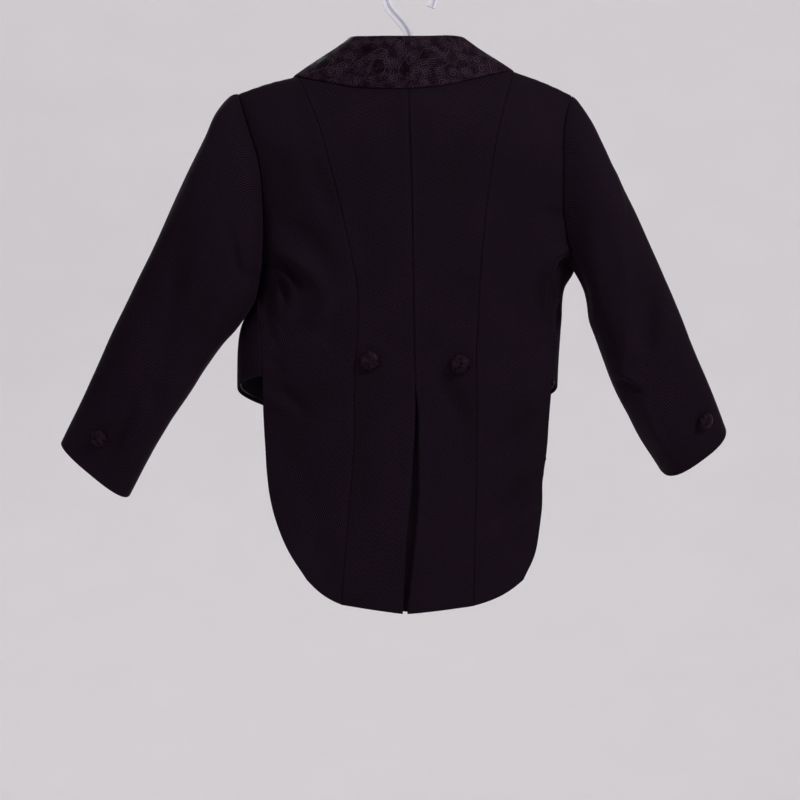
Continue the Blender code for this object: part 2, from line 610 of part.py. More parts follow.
def lapel_seam(row):
    """x and drop of the seam under a lapel's fold."""
    out, down = row.edge_x - row.roll_x, row.edge_drop - row.roll_drop
    share = min(LAPEL_TUCK / math.hypot(out, down), 0.5)
    return row.roll_x + share * out, row.roll_drop + share * down


def unit(vector):
    return vector / np.linalg.norm(vector)


def fold_section(seam, roll, fall, radius, out):
    """Both faces of the folded collar at one station, from its seam over the fold and down its fall."""
    top = -unit(unit(seam - roll) + unit(fall[-1] - roll))
    out = unit(out - (out @ top) * top)
    turns = np.radians([180, 135, 90, 45, 0])
    fold = [roll + radius * (math.cos(t) * out + math.sin(t) * top) for t in turns]
    line = np.array([seam, (seam + fold[0]) / 2, *fold, *fall])
    face = np.cross(np.gradient(line, axis=0), np.cross(out, top))
    face /= np.linalg.norm(face, axis=1, keepdims=True)
    return line + face * COLLAR_CLOTH / 2, line - face * COLLAR_CLOTH / 2


def back_place(x, drop, lift):
    """A point that lies that far above the back."""
    angle = angle_of(np.array(float(x)), np.array(float(drop)))
    return body_point(angle, float(drop)) + lift * body_normal(angle, float(drop))


def front_place(x, drop, lift, side):
    """A point that lies that far above the front."""
    angle = side * 180 - angle_of(np.array(side * x), np.array(float(drop)))
    return body_point(angle, float(drop)) + lift * body_normal(angle, float(drop))


def collar(side, name):
    """Half of the shawl collar: stand and fall behind the neck, lapel down the front."""
    sections = []
    for row in COLLAR_LEFT if side > 0 else COLLAR_RIGHT:
        roll = np.array([side * row.roll[0], row.roll[1], -row.roll[2]], float)
        seam = back_place(side * row.seam_x, neck_drop(row.seam_x, side) - 0.4, -CLOTH / 2)
        seam[2] += 1.4
        ridge = float(shoulder_drop(side * row.edge_x))
        edge = back_place(side * row.edge_x, max(row.edge_drop, ridge), COLLAR_LIFT)
        if row.seam_x == 0:
            seam[0] = roll[0] = edge[0] = side * SEAM_GAP / 2
        out = unit(edge - roll) - unit(seam - roll)
        start = roll + FOLD_RADIUS * unit(out)
        fall = [start + t * (edge - start) + 1.6 * math.sin(math.pi * t) * unit(out) for t in (0.25, 0.5, 0.75, 1)]
        sections.append(fold_section(seam, roll, fall, FOLD_RADIUS, out))
    for row in LAPELS:
        edge_x, edge_drop = (row.edge_x, row.edge_drop) if side > 0 else (row.right_x, row.right_drop)
        seam_x, seam_drop = lapel_seam(row)
        seam = front_place(seam_x, seam_drop, -CLOTH / 2, side)
        roll = front_place(row.roll_x, row.roll_drop, row.lift, side)
        out = front_place(row.roll_x, row.roll_drop, row.lift + 1, side) - roll
        fall = []
        for t in (0.25, 0.5, 0.75, 1):
            x = row.roll_x + t * (edge_x - row.roll_x)
            drop = row.roll_drop + t * (edge_drop - row.roll_drop)
            lift = COLLAR_LIFT + (row.lift + row.radius - COLLAR_LIFT) * (1 - t) ** 2
            fall.append(front_place(x, drop, lift, side))
        sections.append(fold_section(seam, roll, fall, row.radius, out))
    outer, inner = (np.array([pair[face] for pair in sections]) for face in (0, 1))
    return wall_object(name, outer, inner, "jacquard")


def turned(name, profile, place, normal, finish):
    """A round piece turned about its normal: profile rows are a radius and a height above the place."""
    normal = normal / np.linalg.norm(normal)
    across = np.cross(normal, [0, 0, 1.0])
    across /= np.linalg.norm(across)
    third = np.cross(normal, across)
    rings = []
    for radius, height in profile:
        rings.append(
            [
                place + height * normal + radius * (math.cos(t) * across + math.sin(t) * third)
                for t in np.linspace(0, 2 * math.pi, BUTTON_STEPS, endpoint=False)
            ]
        )
    points = [p for ring in rings for p in ring]
    faces = [tuple(range(BUTTON_STEPS)), tuple(range(len(points) - BUTTON_STEPS, len(points)))]
    for r in range(len(rings) - 1):
        for c in range(BUTTON_STEPS):
            a, b = r * BUTTON_STEPS + c, r * BUTTON_STEPS + (c + 1) % BUTTON_STEPS
            faces.append((a, b, b + BUTTON_STEPS, a + BUTTON_STEPS))
    return mesh_object(name, points, faces, finish)


def covered_button(name, place, normal, diameter):
    """A cloth-covered dome on a short shank."""
    r = diameter / 2
    profile = [(2.0, 0.4), (2.0, 1.7), (r * 0.86, 1.8), (r, 2.8), (r * 0.97, 4.0), (r * 0.82, 5.5)]
    profile += [(r * 0.55, 6.6), (r * 0.2, 7.1)]
    return turned(name, profile, place, normal, "button")


def sleeve_place(sleeve_object, x, drop):
    """Where a line along -Y from behind meets a sleeve's outer face, and the face's normal there."""
    bpy.context.view_layer.update()
    start = (x * MM, 0.4, -drop * MM)
    found, place, normal, _ = sleeve_object.ray_cast(start, (0, -1, 0))
    if not found:
        raise ValueError(f"nothing of {sleeve_object.name} lies at {x}, {drop}")
    return np.array(place) / MM, np.array(normal)


def swept(name, path, width, depth, finish, taper=None):
    """A bar with a groove down each face, swept along a path in the plane of the coat."""
    path = np.array(path, float)
    ahead = np.gradient(path, axis=0)
    ahead /= np.linalg.norm(ahead, axis=1, keepdims=True)
    outline = [(-0.5, -0.5), (-0.2, -0.5), (-0.16, -0.22), (0.16, -0.22), (0.2, -0.5), (0.5, -0.5)]
    outline += [(-u, -v) for u, v in outline]
    points = []
    for i, (x, drop) in enumerate(path):
        size = 1.0 if taper is None else taper[i]
        for u, v in outline:
            across = u * width * size
            points.append((x - ahead[i, 1] * across, v * depth * size, -(drop + ahead[i, 0] * across)))
    count = len(outline)
    faces = [tuple(range(count)), tuple(range(len(points) - count, len(points)))]
    for r in range(len(path) - 1):
        for c in range(count):
            a, b = r * count + c, r * count + (c + 1) % count
            faces.append((a, b, b + count, a + count))
    return mesh_object(name, points, faces, finish)


def hanger(name):
    """One moulding: arms under the shoulders and a hook whose seat is at the origin."""
    reach = ARM_WIDTH / 2 + CLOTH + LAY_GAP
    arm_x = np.concatenate([np.linspace(124, 20, 8), [0], np.linspace(-20, -120, 8)])
    arm_drop = shoulder_drop(arm_x) + reach / math.cos(math.radians(18)) + 2.5 + 3 * (np.abs(arm_x) / 124) ** 3
    arm_drop = np.maximum(arm_drop, 77.5)
    taper = np.clip((126 - np.abs(arm_x)) / 8, 0.5, 1.0)
    arms = swept(name, np.stack([arm_x, arm_drop], axis=1), ARM_WIDTH, ARM_DEPTH, "hanger", taper)

    radius = HOOK_SEAT_RADIUS + HOOK_WIDTH / 2
    path = [(0, 76), (0, 66), (0, 56), (1.5, 49.5), (5.5, 42.5), (10.5, 36.8)]
    for turn in np.radians(np.arange(-45, 211, 17)):
        path.append((radius * math.cos(turn), HOOK_SEAT_RADIUS - radius * math.sin(turn)))
    hook = swept("hook_tool", path, HOOK_WIDTH, HOOK_DEPTH, "hanger")
    hook.hide_render = True
    hook.display_type = "WIRE"
    join = arms.modifiers.new("join_hook", "BOOLEAN")
    join.operation = "UNION"
    join.object = hook
    return arms


def build():
    clear_scene()
    for side, word in ((1, "left"), (-1, "right")):
        centre_back(side, f"back_centre_{word}")
        side_back(side, f"back_side_{word}")
        front(side, f"front_{word}")
        front_lining(side, f"front_lining_{word}")
        collar(side, f"shawl_collar_{word}")
    vent_facing("vent_facing")
    left_sleeve = sleeve(1, "sleeve_left")
    right_sleeve = sleeve(-1, "sleeve_right")
    for word, x, drop in (("left", 34.4, 334.6), ("right", -42.2, 337.4)):
        place = back_place(x, drop, 0)
        covered_button(f"waist_button_{word}", place, back_place(x, drop, 1) - place, WAIST_BUTTON)
    covered_button("cuff_button_left", *sleeve_place(left_sleeve, 269.0, 401.0), CUFF_BUTTON)
    covered_button("cuff_button_right", *sleeve_place(right_sleeve, -254.0, 385.0), CUFF_BUTTON)
    hanger("hanger")


build()
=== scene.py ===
import math
from collections import namedtuple

import bmesh
import bpy
import numpy as np
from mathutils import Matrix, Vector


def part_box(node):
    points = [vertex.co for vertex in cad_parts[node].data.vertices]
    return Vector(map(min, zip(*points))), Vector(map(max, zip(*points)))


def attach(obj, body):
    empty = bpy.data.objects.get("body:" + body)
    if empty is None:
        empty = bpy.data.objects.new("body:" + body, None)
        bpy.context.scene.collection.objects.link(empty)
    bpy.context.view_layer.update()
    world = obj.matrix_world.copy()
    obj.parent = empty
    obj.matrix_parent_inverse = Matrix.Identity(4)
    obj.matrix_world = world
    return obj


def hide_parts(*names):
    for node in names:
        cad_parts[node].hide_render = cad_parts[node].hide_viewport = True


# A child's evening tailcoat on a plastic hanger. Tables are in millimetres: x is across the coat, +x on the
# wearer's left, and a drop is a distance below the rail's seat inside the hook, which is the origin.

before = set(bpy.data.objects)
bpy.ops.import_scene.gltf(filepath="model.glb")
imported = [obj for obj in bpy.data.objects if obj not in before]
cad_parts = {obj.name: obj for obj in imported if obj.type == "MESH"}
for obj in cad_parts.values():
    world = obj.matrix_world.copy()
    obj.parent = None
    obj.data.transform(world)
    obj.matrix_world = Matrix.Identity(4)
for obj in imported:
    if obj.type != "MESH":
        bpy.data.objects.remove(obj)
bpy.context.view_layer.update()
print("frame loaded,", len(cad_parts), "nodes")

mm = 0.001

# the camera looks level at the back of the coat; target and distance are in metres
view = {"target": (0.0086, 0.025, -0.3684), "distance": 2.6, "lens": 136.05, "sensor": 36.0}

studio = {
    # name: place, size and power in watts of each soft box, all aimed at the middle of the coat
    "key": ((-1.75, 1.5, 1.15), 0.4, 50.0),
    "fill": ((1.9, 2.2, 0.1), 1.0, 20.0),
    "top": ((0.2, 0.30, 1.5), 0.7, 5.0),
    "front": ((0.9, -2.2, 0.8), 1.4, 62.0),
    "worldColour": "#f1eff2",
    "worldStrength": 0.34,
    "floorDrop": 1.02,
    "floorFront": 3.2,
    "floorBack": -1.2,  # where it starts to sweep up into the wall
    "sweepRadius": 0.8,
    "wallTop": 3.0,
    "halfWidth": 3.5,
    "floorColour": "#e9e6e8",
    "floorShade": "#e4e1e3",
}


def placeObject(name, data):
    made = bpy.data.objects.new(name, data)
    bpy.context.scene.collection.objects.link(made)
    return made


def placeCamera():
    data = bpy.data.cameras.new("camera")
    data.lens = view["lens"]
    data.sensor_width = view["sensor"]
    camera = placeObject("camera", data)
    x, y, z = view["target"]
    camera.location = (x, y + view["distance"], z)
    camera.rotation_euler = (math.radians(90), 0, math.radians(180))
    bpy.context.scene.camera = camera


def linear(colour):  # sRGB hex to the linear values that shaders take
    channels = [int(colour[i : i + 2], 16) / 255 for i in (1, 3, 5)]
    return tuple(c / 12.92 if c <= 0.04045 else ((c + 0.055) / 1.055) ** 2.4 for c in channels) + (1.0,)


def setInputs(tree, node, inputs):
    # each input is a value, a socket, or a sum: a tuple of a Math operation's name and its own inputs
    for key, value in inputs.items():
        if isinstance(value, tuple) and isinstance(value[0], str):
            terms = dict(enumerate(value[1:]))
            value = addNode(tree, "ShaderNodeMath", {"operation": value[0]}, terms).outputs[0]
        if isinstance(value, bpy.types.NodeSocket):
            tree.links.new(value, node.inputs[key])
        else:
            node.inputs[key].default_value = value


def addNode(tree, kind, settings=None, inputs=None):
    made = tree.nodes.new(kind)
    for name, value in (settings or {}).items():
        setattr(made, name, value)
    setInputs(tree, made, inputs or {})
    return made


def newMaterial(name):
    made = bpy.data.materials.new(name)
    made.use_nodes = True
    return made, made.node_tree, made.node_tree.nodes["Principled BSDF"]


def placeLights():
    target = np.array(view["target"])
    for name in ("key", "fill", "top", "front"):
        place, size, power = studio[name]
        data = bpy.data.lights.new(name, "AREA")
        data.size = size
        data.energy = power
        lamp = placeObject(name, data)
        lamp.location = place
        ahead = target - np.array(place)
        turn = math.atan2(ahead[1], ahead[0]) - math.pi / 2
        lift = math.atan2(ahead[2], math.hypot(ahead[0], ahead[1]))
        lamp.rotation_euler = (math.pi / 2 + lift, 0, turn)
    world = bpy.data.worlds.new("world")
    world.use_nodes = True
    background = world.node_tree.nodes["Background"]
    background.inputs["Color"].default_value = linear(studio["worldColour"])
    background.inputs["Strength"].default_value = studio["worldStrength"]
    bpy.context.scene.world = world


def layFloor():
    # matt emulsion on a smooth board: an even pale ground that sweeps up behind
    made, tree, shader = newMaterial("mattPaint")
    grain = addNode(tree, "ShaderNodeTexNoise", inputs={"Scale": 60.0, "Detail": 3.0})
    tint = addNode(
        tree, "ShaderNodeMix", {"data_type": "RGBA"},
        {0: grain.outputs["Fac"], 6: linear(studio["floorColour"]), 7: linear(studio["floorShade"])},
    )
    setInputs(tree, shader, {"Base Color": tint.outputs[2], "Roughness": 0.9})
    bottom, back, sweep = -studio["floorDrop"], studio["floorBack"], studio["sweepRadius"]
    turns = np.linspace(0, math.pi / 2, 13)
    profile = [(studio["floorFront"], bottom), (back, bottom)]
    profile += [(back - sweep * math.sin(t), bottom + sweep * (1 - math.cos(t))) for t in turns]
    profile += [(back - sweep, studio["wallTop"])]
    points = [(x, y, z) for y, z in profile for x in (-studio["halfWidth"], studio["halfWidth"])]
    faces = [(2 * i, 2 * i + 2, 2 * i + 3, 2 * i + 1) for i in range(len(profile) - 1)]
    mesh = bpy.data.meshes.new("floor")
    mesh.from_pydata(points, [], faces)
    mesh.shade_smooth()
    mesh.materials.append(made)
    placeObject("floor", mesh)


placeCamera()
placeLights()
layFloor()
bpy.context.scene.view_settings.view_transform = "Standard"
print("camera, lights and floor placed")

cloth = {
    "thickness": 1.8,
    "facingThickness": 0.9,
    "collarThickness": 1.6,
    "step": 2.6,  # size of the mesh's squares
    "edgeRows": (0.4, 1.0, 2.0),  # and of the closer ones beside an edge, as distances from it
    "seamGap": -0.3,  # the turned edges just press together
    "seamRadius": 1.6,  # over which cloth turns down into a seam
    "seamDip": 1.3,
    "collarSeamRadius": 1.8,
    "collarSeamDip": 1.4,
    "edgeRadius": 1.2,  # of a folded free edge
    "edgeDip": 0.75,
    "allowanceWidth": 9.0,  # turnings inside a seam show through as a faint step
    "allowanceHeight": 0.18,
    "allowanceBlend": 0.7,
    "puckerLength": 10.5,
    "puckerHeight": 0.16,
    "puckerReach": 4.5,  # how far from the seam they die away
    "puckerDrift": 23.0,  # over which their spacing wanders
    "driftHeight": 0.7,  # of the broad unevenness that no panel is without
    "foldDepth": 1.6,  # times the folds' own heights, because the light is soft
    "foldTaper": 0.6,  # below 1, a fold keeps its height for most of its length
    "turnings": 10.0,  # cut beyond each seam and hem
}

# The body of the coat is one smooth surface, and a place on it is an angle round it and a drop.
body = {
    "squareness": 2.3,
    "backRounding": 75.0,
    "frontRounding": 62.0,
    "rollReach": 36.0,  # below the shoulder's ridge, where the rows lie closer together
    "rollRows": 15,
    "topReach": 45.0,  # how far down the top edge's line has a say in the rows
    "sideBlend": 12.0,  # depth over which the back's folds give way to the front's
    "driftFrom": 60.0,  # drop below the shoulder at which the unevenness is whole
    "frontDrift": 1.7,  # sets the front's unevenness apart from the back's
    "neckLeft": 58.0,
    "neckRight": -56.0,
    "neckDrop": 82.0,
    "ventTop": 355.0,
    "hemCentre": 551.5,
    "hemLeft": 543.8,
    "hemRight": 544.7,
    "frontPointDrop": 405.0,
    "frontPointX": 13.0,
    "frontInset": 0.3,  # of the front's edge behind the lapel's seam
    "frontHemBow": -6.0,
    "frontHemReach": 34.0,
    "tailHemBow": 2.5,
}

# how far the body reaches to its two sides, behind and before, drop by drop
Section = namedtuple("Section", "drop left right back front")
sections = [
    Section(60, 162.0, 157.0, 34, 36),
    Section(105, 159.5, 154.5, 39, 42),
    Section(145, 154.4, 151.6, 44, 48),
    Section(190, 149.7, 149.5, 48, 52),
    Section(232, 137.4, 146.5, 50, 54),
    Section(258, 130.6, 142.0, 50, 54),
    Section(271, 132.6, 134.4, 49.5, 53.5),
    Section(286, 137.2, 132.2, 49, 53),
    Section(296, 143.0, 132.0, 48.5, 52.5),
    Section(308, 147.4, 131.0, 48, 52),
    Section(345, 150.0, 128.6, 45, 49),
    Section(400, 148.0, 127.0, 44, 47),
    Section(470, 148.0, 124.0, 43, 46),
    Section(560, 148.0, 121.0, 41, 45),
]

Ridge = namedtuple("Ridge", "x drop")
shoulderLine = [
    Ridge(-165, 119.0), Ridge(-140.4, 104.7), Ridge(-130, 99.3), Ridge(-109, 90.4), Ridge(-89, 83.8),
    Ridge(-56, 73.5), Ridge(-25, 64.5), Ridge(0, 61.0), Ridge(25, 65.0), Ridge(58, 75.4), Ridge(98, 88.0),
    Ridge(120, 93.2), Ridge(148.6, 103.1), Ridge(165, 110.6),
]

Seam = namedtuple("Seam", "drop x")
centreSeam = [
    Seam(60, 0.0), Seam(82, 0.2), Seam(100, 0.9), Seam(116, 1.3), Seam(145, 0.3), Seam(189, -1.2),
    Seam(248, -2.2), Seam(306, -3.1), Seam(340, -3.9), Seam(354, -4.4), Seam(355, -4.4),
]
ventLeft = [
    Seam(380, -4.3), Seam(403, -3.4), Seam(421, -2.3), Seam(442, -0.9), Seam(460, 0.5), Seam(480, 2.4),
    Seam(510, 4.5), Seam(545, 6.0), Seam(560, 6.5),
]
ventRight = [
    Seam(380, -7.1), Seam(403, -7.2), Seam(421, -7.3), Seam(450, -7.3), Seam(467, -6.2), Seam(480, -5.2),
    Seam(510, -2.1), Seam(545, 1.7), Seam(560, 3.2),
]
princessLeft = [
    Seam(90, 96.3), Seam(104, 89.8), Seam(135, 77.6), Seam(172, 67.5), Seam(218, 56.3), Seam(251, 48.9),
    Seam(273, 45.3), Seam(306, 44.9), Seam(361, 47.7), Seam(411, 48.2), Seam(460, 52.3), Seam(503, 55.8),
    Seam(545, 59.0),
]
princessRight = [
    Seam(87, -89.0), Seam(127, -77.9), Seam(161, -71.0), Seam(208, -64.6), Seam(250, -60.6), Seam(306, -57.6),
    Seam(331, -56.5), Seam(381, -57.0), Seam(441, -56.8), Seam(480, -55.7), Seam(546, -54.2),
]

Edge = namedtuple("Edge", "x drop")
armholeBackLeft = [
    Edge(148.6, 103.1), Edge(147.4, 107.8), Edge(143.2, 121.5), Edge(137.2, 140), Edge(131.7, 158),
    Edge(128.4, 178), Edge(126.8, 200), Edge(126.7, 222), Edge(127.1, 243), Edge(128.6, 259),
]
armholeBackRight = [
    Edge(-140.4, 104.7), Edge(-138.8, 109.5), Edge(-134.9, 122), Edge(-131.9, 140), Edge(-131.5, 160),
    Edge(-131.5, 180), Edge(-131.9, 199), Edge(-134.0, 217), Edge(-137.4, 234), Edge(-140.0, 250),
]
sideSeamLeft = [
    Edge(129.2, 269), Edge(129.5, 281), Edge(129.5, 293), Edge(129.1, 306), Edge(128.6, 320),
    Edge(127.8, 334), Edge(127.2, 347),
]
sideSeamRight = [
    Edge(-137.3, 257), Edge(-132.6, 264), Edge(-129.2, 271), Edge(-127.0, 280), Edge(-125.8, 291),
    Edge(-125.0, 304), Edge(-124.2, 319), Edge(-123.2, 335), Edge(-122.4, 350),
]
tailEdgeLeft = [
    Edge(126.6, 362), Edge(126.2, 380), Edge(125.4, 402), Edge(123.5, 430), Edge(120.0, 454),
    Edge(113.8, 476), Edge(104.4, 498.5), Edge(88.6, 522.5),
]
tailEdgeRight = [
    Edge(-121.3, 367), Edge(-119.5, 392), Edge(-117.0, 421), Edge(-114.4, 450), Edge(-111.8, 478),
    Edge(-107.5, 502), Edge(-98.0, 523),
]

Turn = namedtuple("Turn", "angle drop")
armholeFrontLeft = [
    Turn(114.5, 108), Turn(114.0, 122), Turn(118.4, 140), Turn(123.6, 160), Turn(126.5, 180),
    Turn(127.5, 200), Turn(126.5, 218), Turn(122.5, 234), Turn(115.0, 246), Turn(104.0, 253.5),
    Turn(92.5, 257.4), Turn(83.0, 259),
]
armholeFrontRight = [
    Turn(113.8, 109.5), Turn(113.2, 122), Turn(117.8, 140), Turn(122.5, 160), Turn(124.5, 180),
    Turn(124.5, 198), Turn(121.5, 214), Turn(115.5, 228), Turn(107.5, 238.5), Turn(99.0, 245),
    Turn(91.0, 248.6), Turn(84.0, 249.8),
]

# Each fold is a soft ridge, or with a negative height a trough, along a line that bends towards via.
# width is how far it reaches on its right as the line is followed, and far on its left where that differs.
Fold = namedtuple("Fold", "start via end width height far", defaults=(None,))
backFolds = [
    # the swirl of cloth that the sleeve drags in under the wearer's left arm, from its inside out
    Fold((130, 258.5), (115, 259.5), (111.5, 274), 2.4, 2.3, 1.8),
    Fold((112, 271), (111, 284), (113, 299), 4.5, 1.7),
    Fold((121, 262.5), (106.5, 265), (107.5, 288), 3.4, -2.8, 3.0),
    Fold((126, 255), (103, 255), (100.5, 278), 3.0, 2.0, 2.6),
    Fold((101, 277), (101, 297), (112, 306), 5.0, 1.7),
    Fold((119, 249.5), (101.5, 250.5), (94, 276), 4.0, -3.4, 3.4),
    Fold((122, 242), (84, 246), (71, 283), 7.5, 3.2, 5.5),
    Fold((71, 282), (70, 299), (86, 305), 5.0, 2.6, 7.0),
    Fold((119, 217), (85, 220), (64, 270), 11.0, -2.2),
    Fold((94, 299), (103, 305), (111, 316), 3.2, -2.4, 3.8),
    Fold((84, 291), (92, 299), (104, 316), 4.5, -1.2),
    Fold((123, 266), (120, 284), (122, 302), 3.6, -1.5, 3.0),
    Fold((131, 279), (131.5, 290), (129.5, 301), 1.8, 1.0),
    Fold((123, 302), (118, 316), (110, 330), 4.0, -1.4, 6.0),
    Fold((62, 294), (66, 306), (79, 312), 6.0, -1.5),
    Fold((99, 330), (86, 322), (70, 318), 7.0, 1.1),
    Fold((125, 330), (114, 338), (104, 352), 5.0, -1.2),
    Fold((121, 349), (106, 364), (88, 383), 7.0, -2.6, 9.0),
    Fold((122, 366), (108, 374), (96, 384), 5.0, 1.4),
    Fold((89, 163), (74, 190), (60, 226), 10.0, -1.8),
    Fold((118, 128), (96, 150), (84, 196), 13.0, 1.4),
    # the wearer's right side: a rolled edge of cloth over the hollow under the arm, then drags on the tail
    Fold((-141, 238), (-120, 239), (-116.5, 266), 4.0, 3.2, 3.2),
    Fold((-117, 262), (-114, 282), (-119, 304), 5.0, 2.2, 3.0),
    Fold((-141, 247), (-129, 249), (-128, 268), 6.5, -5.5, 3.4),
    Fold((-131, 280), (-129, 296), (-127, 312), 3.4, -2.2, 2.4),
    Fold((-112, 246), (-106, 268), (-107, 300), 7.0, -1.8),
    Fold((-112, 376), (-92, 404), (-66, 418), 9.0, -3.6, 12.0),
    Fold((-110, 404), (-96, 430), (-66, 446), 9.0, 2.6),
    Fold((-112, 430), (-98, 460), (-68, 474), 9.0, -4.4, 12.0),
    Fold((-108, 452), (-98, 472), (-78, 488), 6.0, 1.6),
    Fold((-106, 470), (-96, 486), (-82, 498), 6.0, -1.6),
    Fold((-100, 228), (-88, 300), (-84, 378), 11.0, -2.4),
    Fold((-118, 312), (-108, 326), (-96, 340), 5.0, -1.6),
    Fold((-118, 338), (-108, 352), (-94, 362), 5.0, -1.3),
    Fold((-133, 150), (-124, 156), (-112, 168), 3.6, -1.1),
    Fold((-134, 208), (-126, 211), (-114, 208), 3.6, -1.4),
    Fold((-128, 128), (-108, 168), (-100, 226), 13.0, 1.5),
    # down the middle and across the tails
    Fold((-22, 340), (-32, 366), (-47, 388), 8.0, -2.0),
    Fold((-54, 514), (-40, 530), (-26, 540), 7.0, -1.5),
    Fold((26, 352), (30, 420), (22, 505), 14.0, 1.3),
    Fold((84, 420), (90, 468), (74, 520), 13.0, -1.9),
    Fold((-34, 420), (-32, 470), (-38, 520), 13.0, 1.5),
    Fold((33, 128), (24, 200), (22, 300), 16.0, 1.2),
    Fold((-40, 118), (-34, 190), (-30, 290), 16.0, -1.1),
    Fold((0.2, 96), (-3.4, 190), (-5.4, 352), 1.3, 0.45),
]
frontFolds = [
    Fold((118, 236), (94, 262), (84, 318), 10.0, -4.0),
    Fold((104, 226), (76, 262), (64, 330), 10.0, 3.0),
    Fold((-116, 228), (-96, 256), (-88, 306), 10.0, -4.0),
    Fold((-104, 214), (-82, 250), (-66, 322), 10.0, 3.0),
    Fold((112, 262), (100, 282), (96, 306), 4.0, -1.6, 6.0),
    Fold((120, 300), (104, 322), (84, 336), 6.0, -1.6),
    Fold((-112, 262), (-104, 286), (-100, 318), 4.0, -1.4, 6.0),
    Fold((-114, 316), (-98, 330), (-78, 340), 6.0, -1.5),
    Fold((96, 128), (86, 168), (94, 214), 12.0, -1.6),
    Fold((-96, 130), (-88, 170), (-96, 208), 12.0, -1.6),
    Fold((52, 318), (46, 352), (36, 386), 10.0, 1.2),
    Fold((-50, 322), (-44, 352), (-34, 384), 10.0, 1.0),
]
sleeveFolds = [
    # seen from behind, on the back of each sleeve
    Fold((152, 226), (147, 250), (143, 272), 4.0, -3.2, 6.5),
    Fold((157, 232), (153, 252), (148, 272), 4.0, 1.3),
    Fold((143, 259), (134, 264), (125, 263), 3.6, -2.2),
    Fold((191, 209), (206, 290), (219, 376), 12.0, -2.8),
    Fold((176, 222), (186, 268), (201, 316), 10.0, 1.7),
    Fold((159, 150), (158, 184), (168, 214), 13.0, -1.6),
    Fold((220, 352), (224, 366), (219, 380), 8.0, -1.6),
    Fold((236, 366), (248, 392), (264, 424), 6.0, -2.8, 3.4),
    Fold((168, 292), (178, 300), (196, 300), 7.0, 1.2),
    Fold((226, 300), (240, 330), (252, 366), 9.0, 1.4),
    # the pressed crease, the trough beside the elbow and the folds that meet inside it
    Fold((-173, 170), (-181.5, 186), (-181.5, 232), 4.0, 1.8, 9.0),
    Fold((-181.5, 230), (-182, 262), (-185, 290), 4.0, 2.0, 9.0),
    Fold((-185, 288), (-186, 322), (-181, 345), 6.0, 1.8),
    Fold((-211, 280), (-208, 306), (-204, 330), 6.0, -3.8, 7.0),
    Fold((-218, 284), (-217, 306), (-212, 334), 8.0, 1.2),
    Fold((-179, 345), (-188, 348), (-201, 358), 2.2, 1.9, 2.8),
    Fold((-179, 352), (-188, 356), (-200, 364), 4.6, -3.0, 3.0),
    Fold((-180, 343), (-190, 341), (-204, 334), 4.0, -1.6),
    Fold((-202, 360), (-203, 392), (-235, 426), 4.5, 2.2, 9.0),
    Fold((-196, 368), (-199, 396), (-222, 424), 8.0, -2.2),
    Fold((-151, 262), (-160, 300), (-174, 340), 4.0, -1.4, 8.0),
]
frontSleeveFolds = [
    # the same kinds of crease on the fronts of the sleeves, at the elbows and under the sleeve heads
    Fold((150, 150), (158, 196), (152, 250), 11.0, -2.2),
    Fold((166, 286), (182, 292), (204, 282), 7.0, -2.6),
    Fold((170, 304), (190, 312), (214, 300), 6.0, 1.8),
    Fold((176, 322), (196, 330), (220, 322), 6.0, -2.0),
    Fold((206, 352), (222, 376), (236, 410), 9.0, 1.4),
    Fold((-150, 148), (-160, 190), (-156, 246), 11.0, -2.2),
    Fold((-160, 296), (-176, 300), (-196, 288), 7.0, -2.6),
    Fold((-166, 314), (-182, 322), (-204, 312), 6.0, 1.8),
    Fold((-174, 334), (-190, 342), (-210, 334), 6.0, -2.2),
    Fold((-206, 360), (-220, 380), (-232, 404), 9.0, 1.2),
]

def curveThrough(keys, values, at):  # a smooth curve through rows of values, with no overshoot at its ends
    keys, values = np.asarray(keys, float), np.asarray(values, float)
    at = np.clip(np.asarray(at, float), keys[0], keys[-1])
    wide = (slice(None),) + (None,) * (values.ndim - 1)
    steps = np.diff(keys)
    rises = np.diff(values, axis=0) / steps[wide]
    slopes = np.concatenate([rises[:1], (rises[1:] + rises[:-1]) / 2, rises[-1:]])
    span = np.clip(np.searchsorted(keys, at, side="right") - 1, 0, len(steps) - 1)
    t = (at - keys[span]) / steps[span]
    t = t.reshape(t.shape + (1,) * (values.ndim - 1))
    step = steps[span].reshape(t.shape)
    return (
        values[span] * (2 * t**3 - 3 * t**2 + 1)
        + step * slopes[span] * (t**3 - 2 * t**2 + t)
        + values[span + 1] * (3 * t**2 - 2 * t**3)
        + step * slopes[span + 1] * (t**3 - t**2)
    )


def column(rows, name):
    return np.array([getattr(row, name) for row in rows], float)


def smooth(at, rows, key, value):
    return curveThrough(column(rows, key), column(rows, value), at)


def shoulderDrop(x):
    return smooth(x, shoulderLine, "x", "drop")


def bodyReach(first, drop, name, other):  # the sections' first named reach where first holds, else the other
    return np.where(first, smooth(drop, sections, "drop", name), smooth(drop, sections, "drop", other))


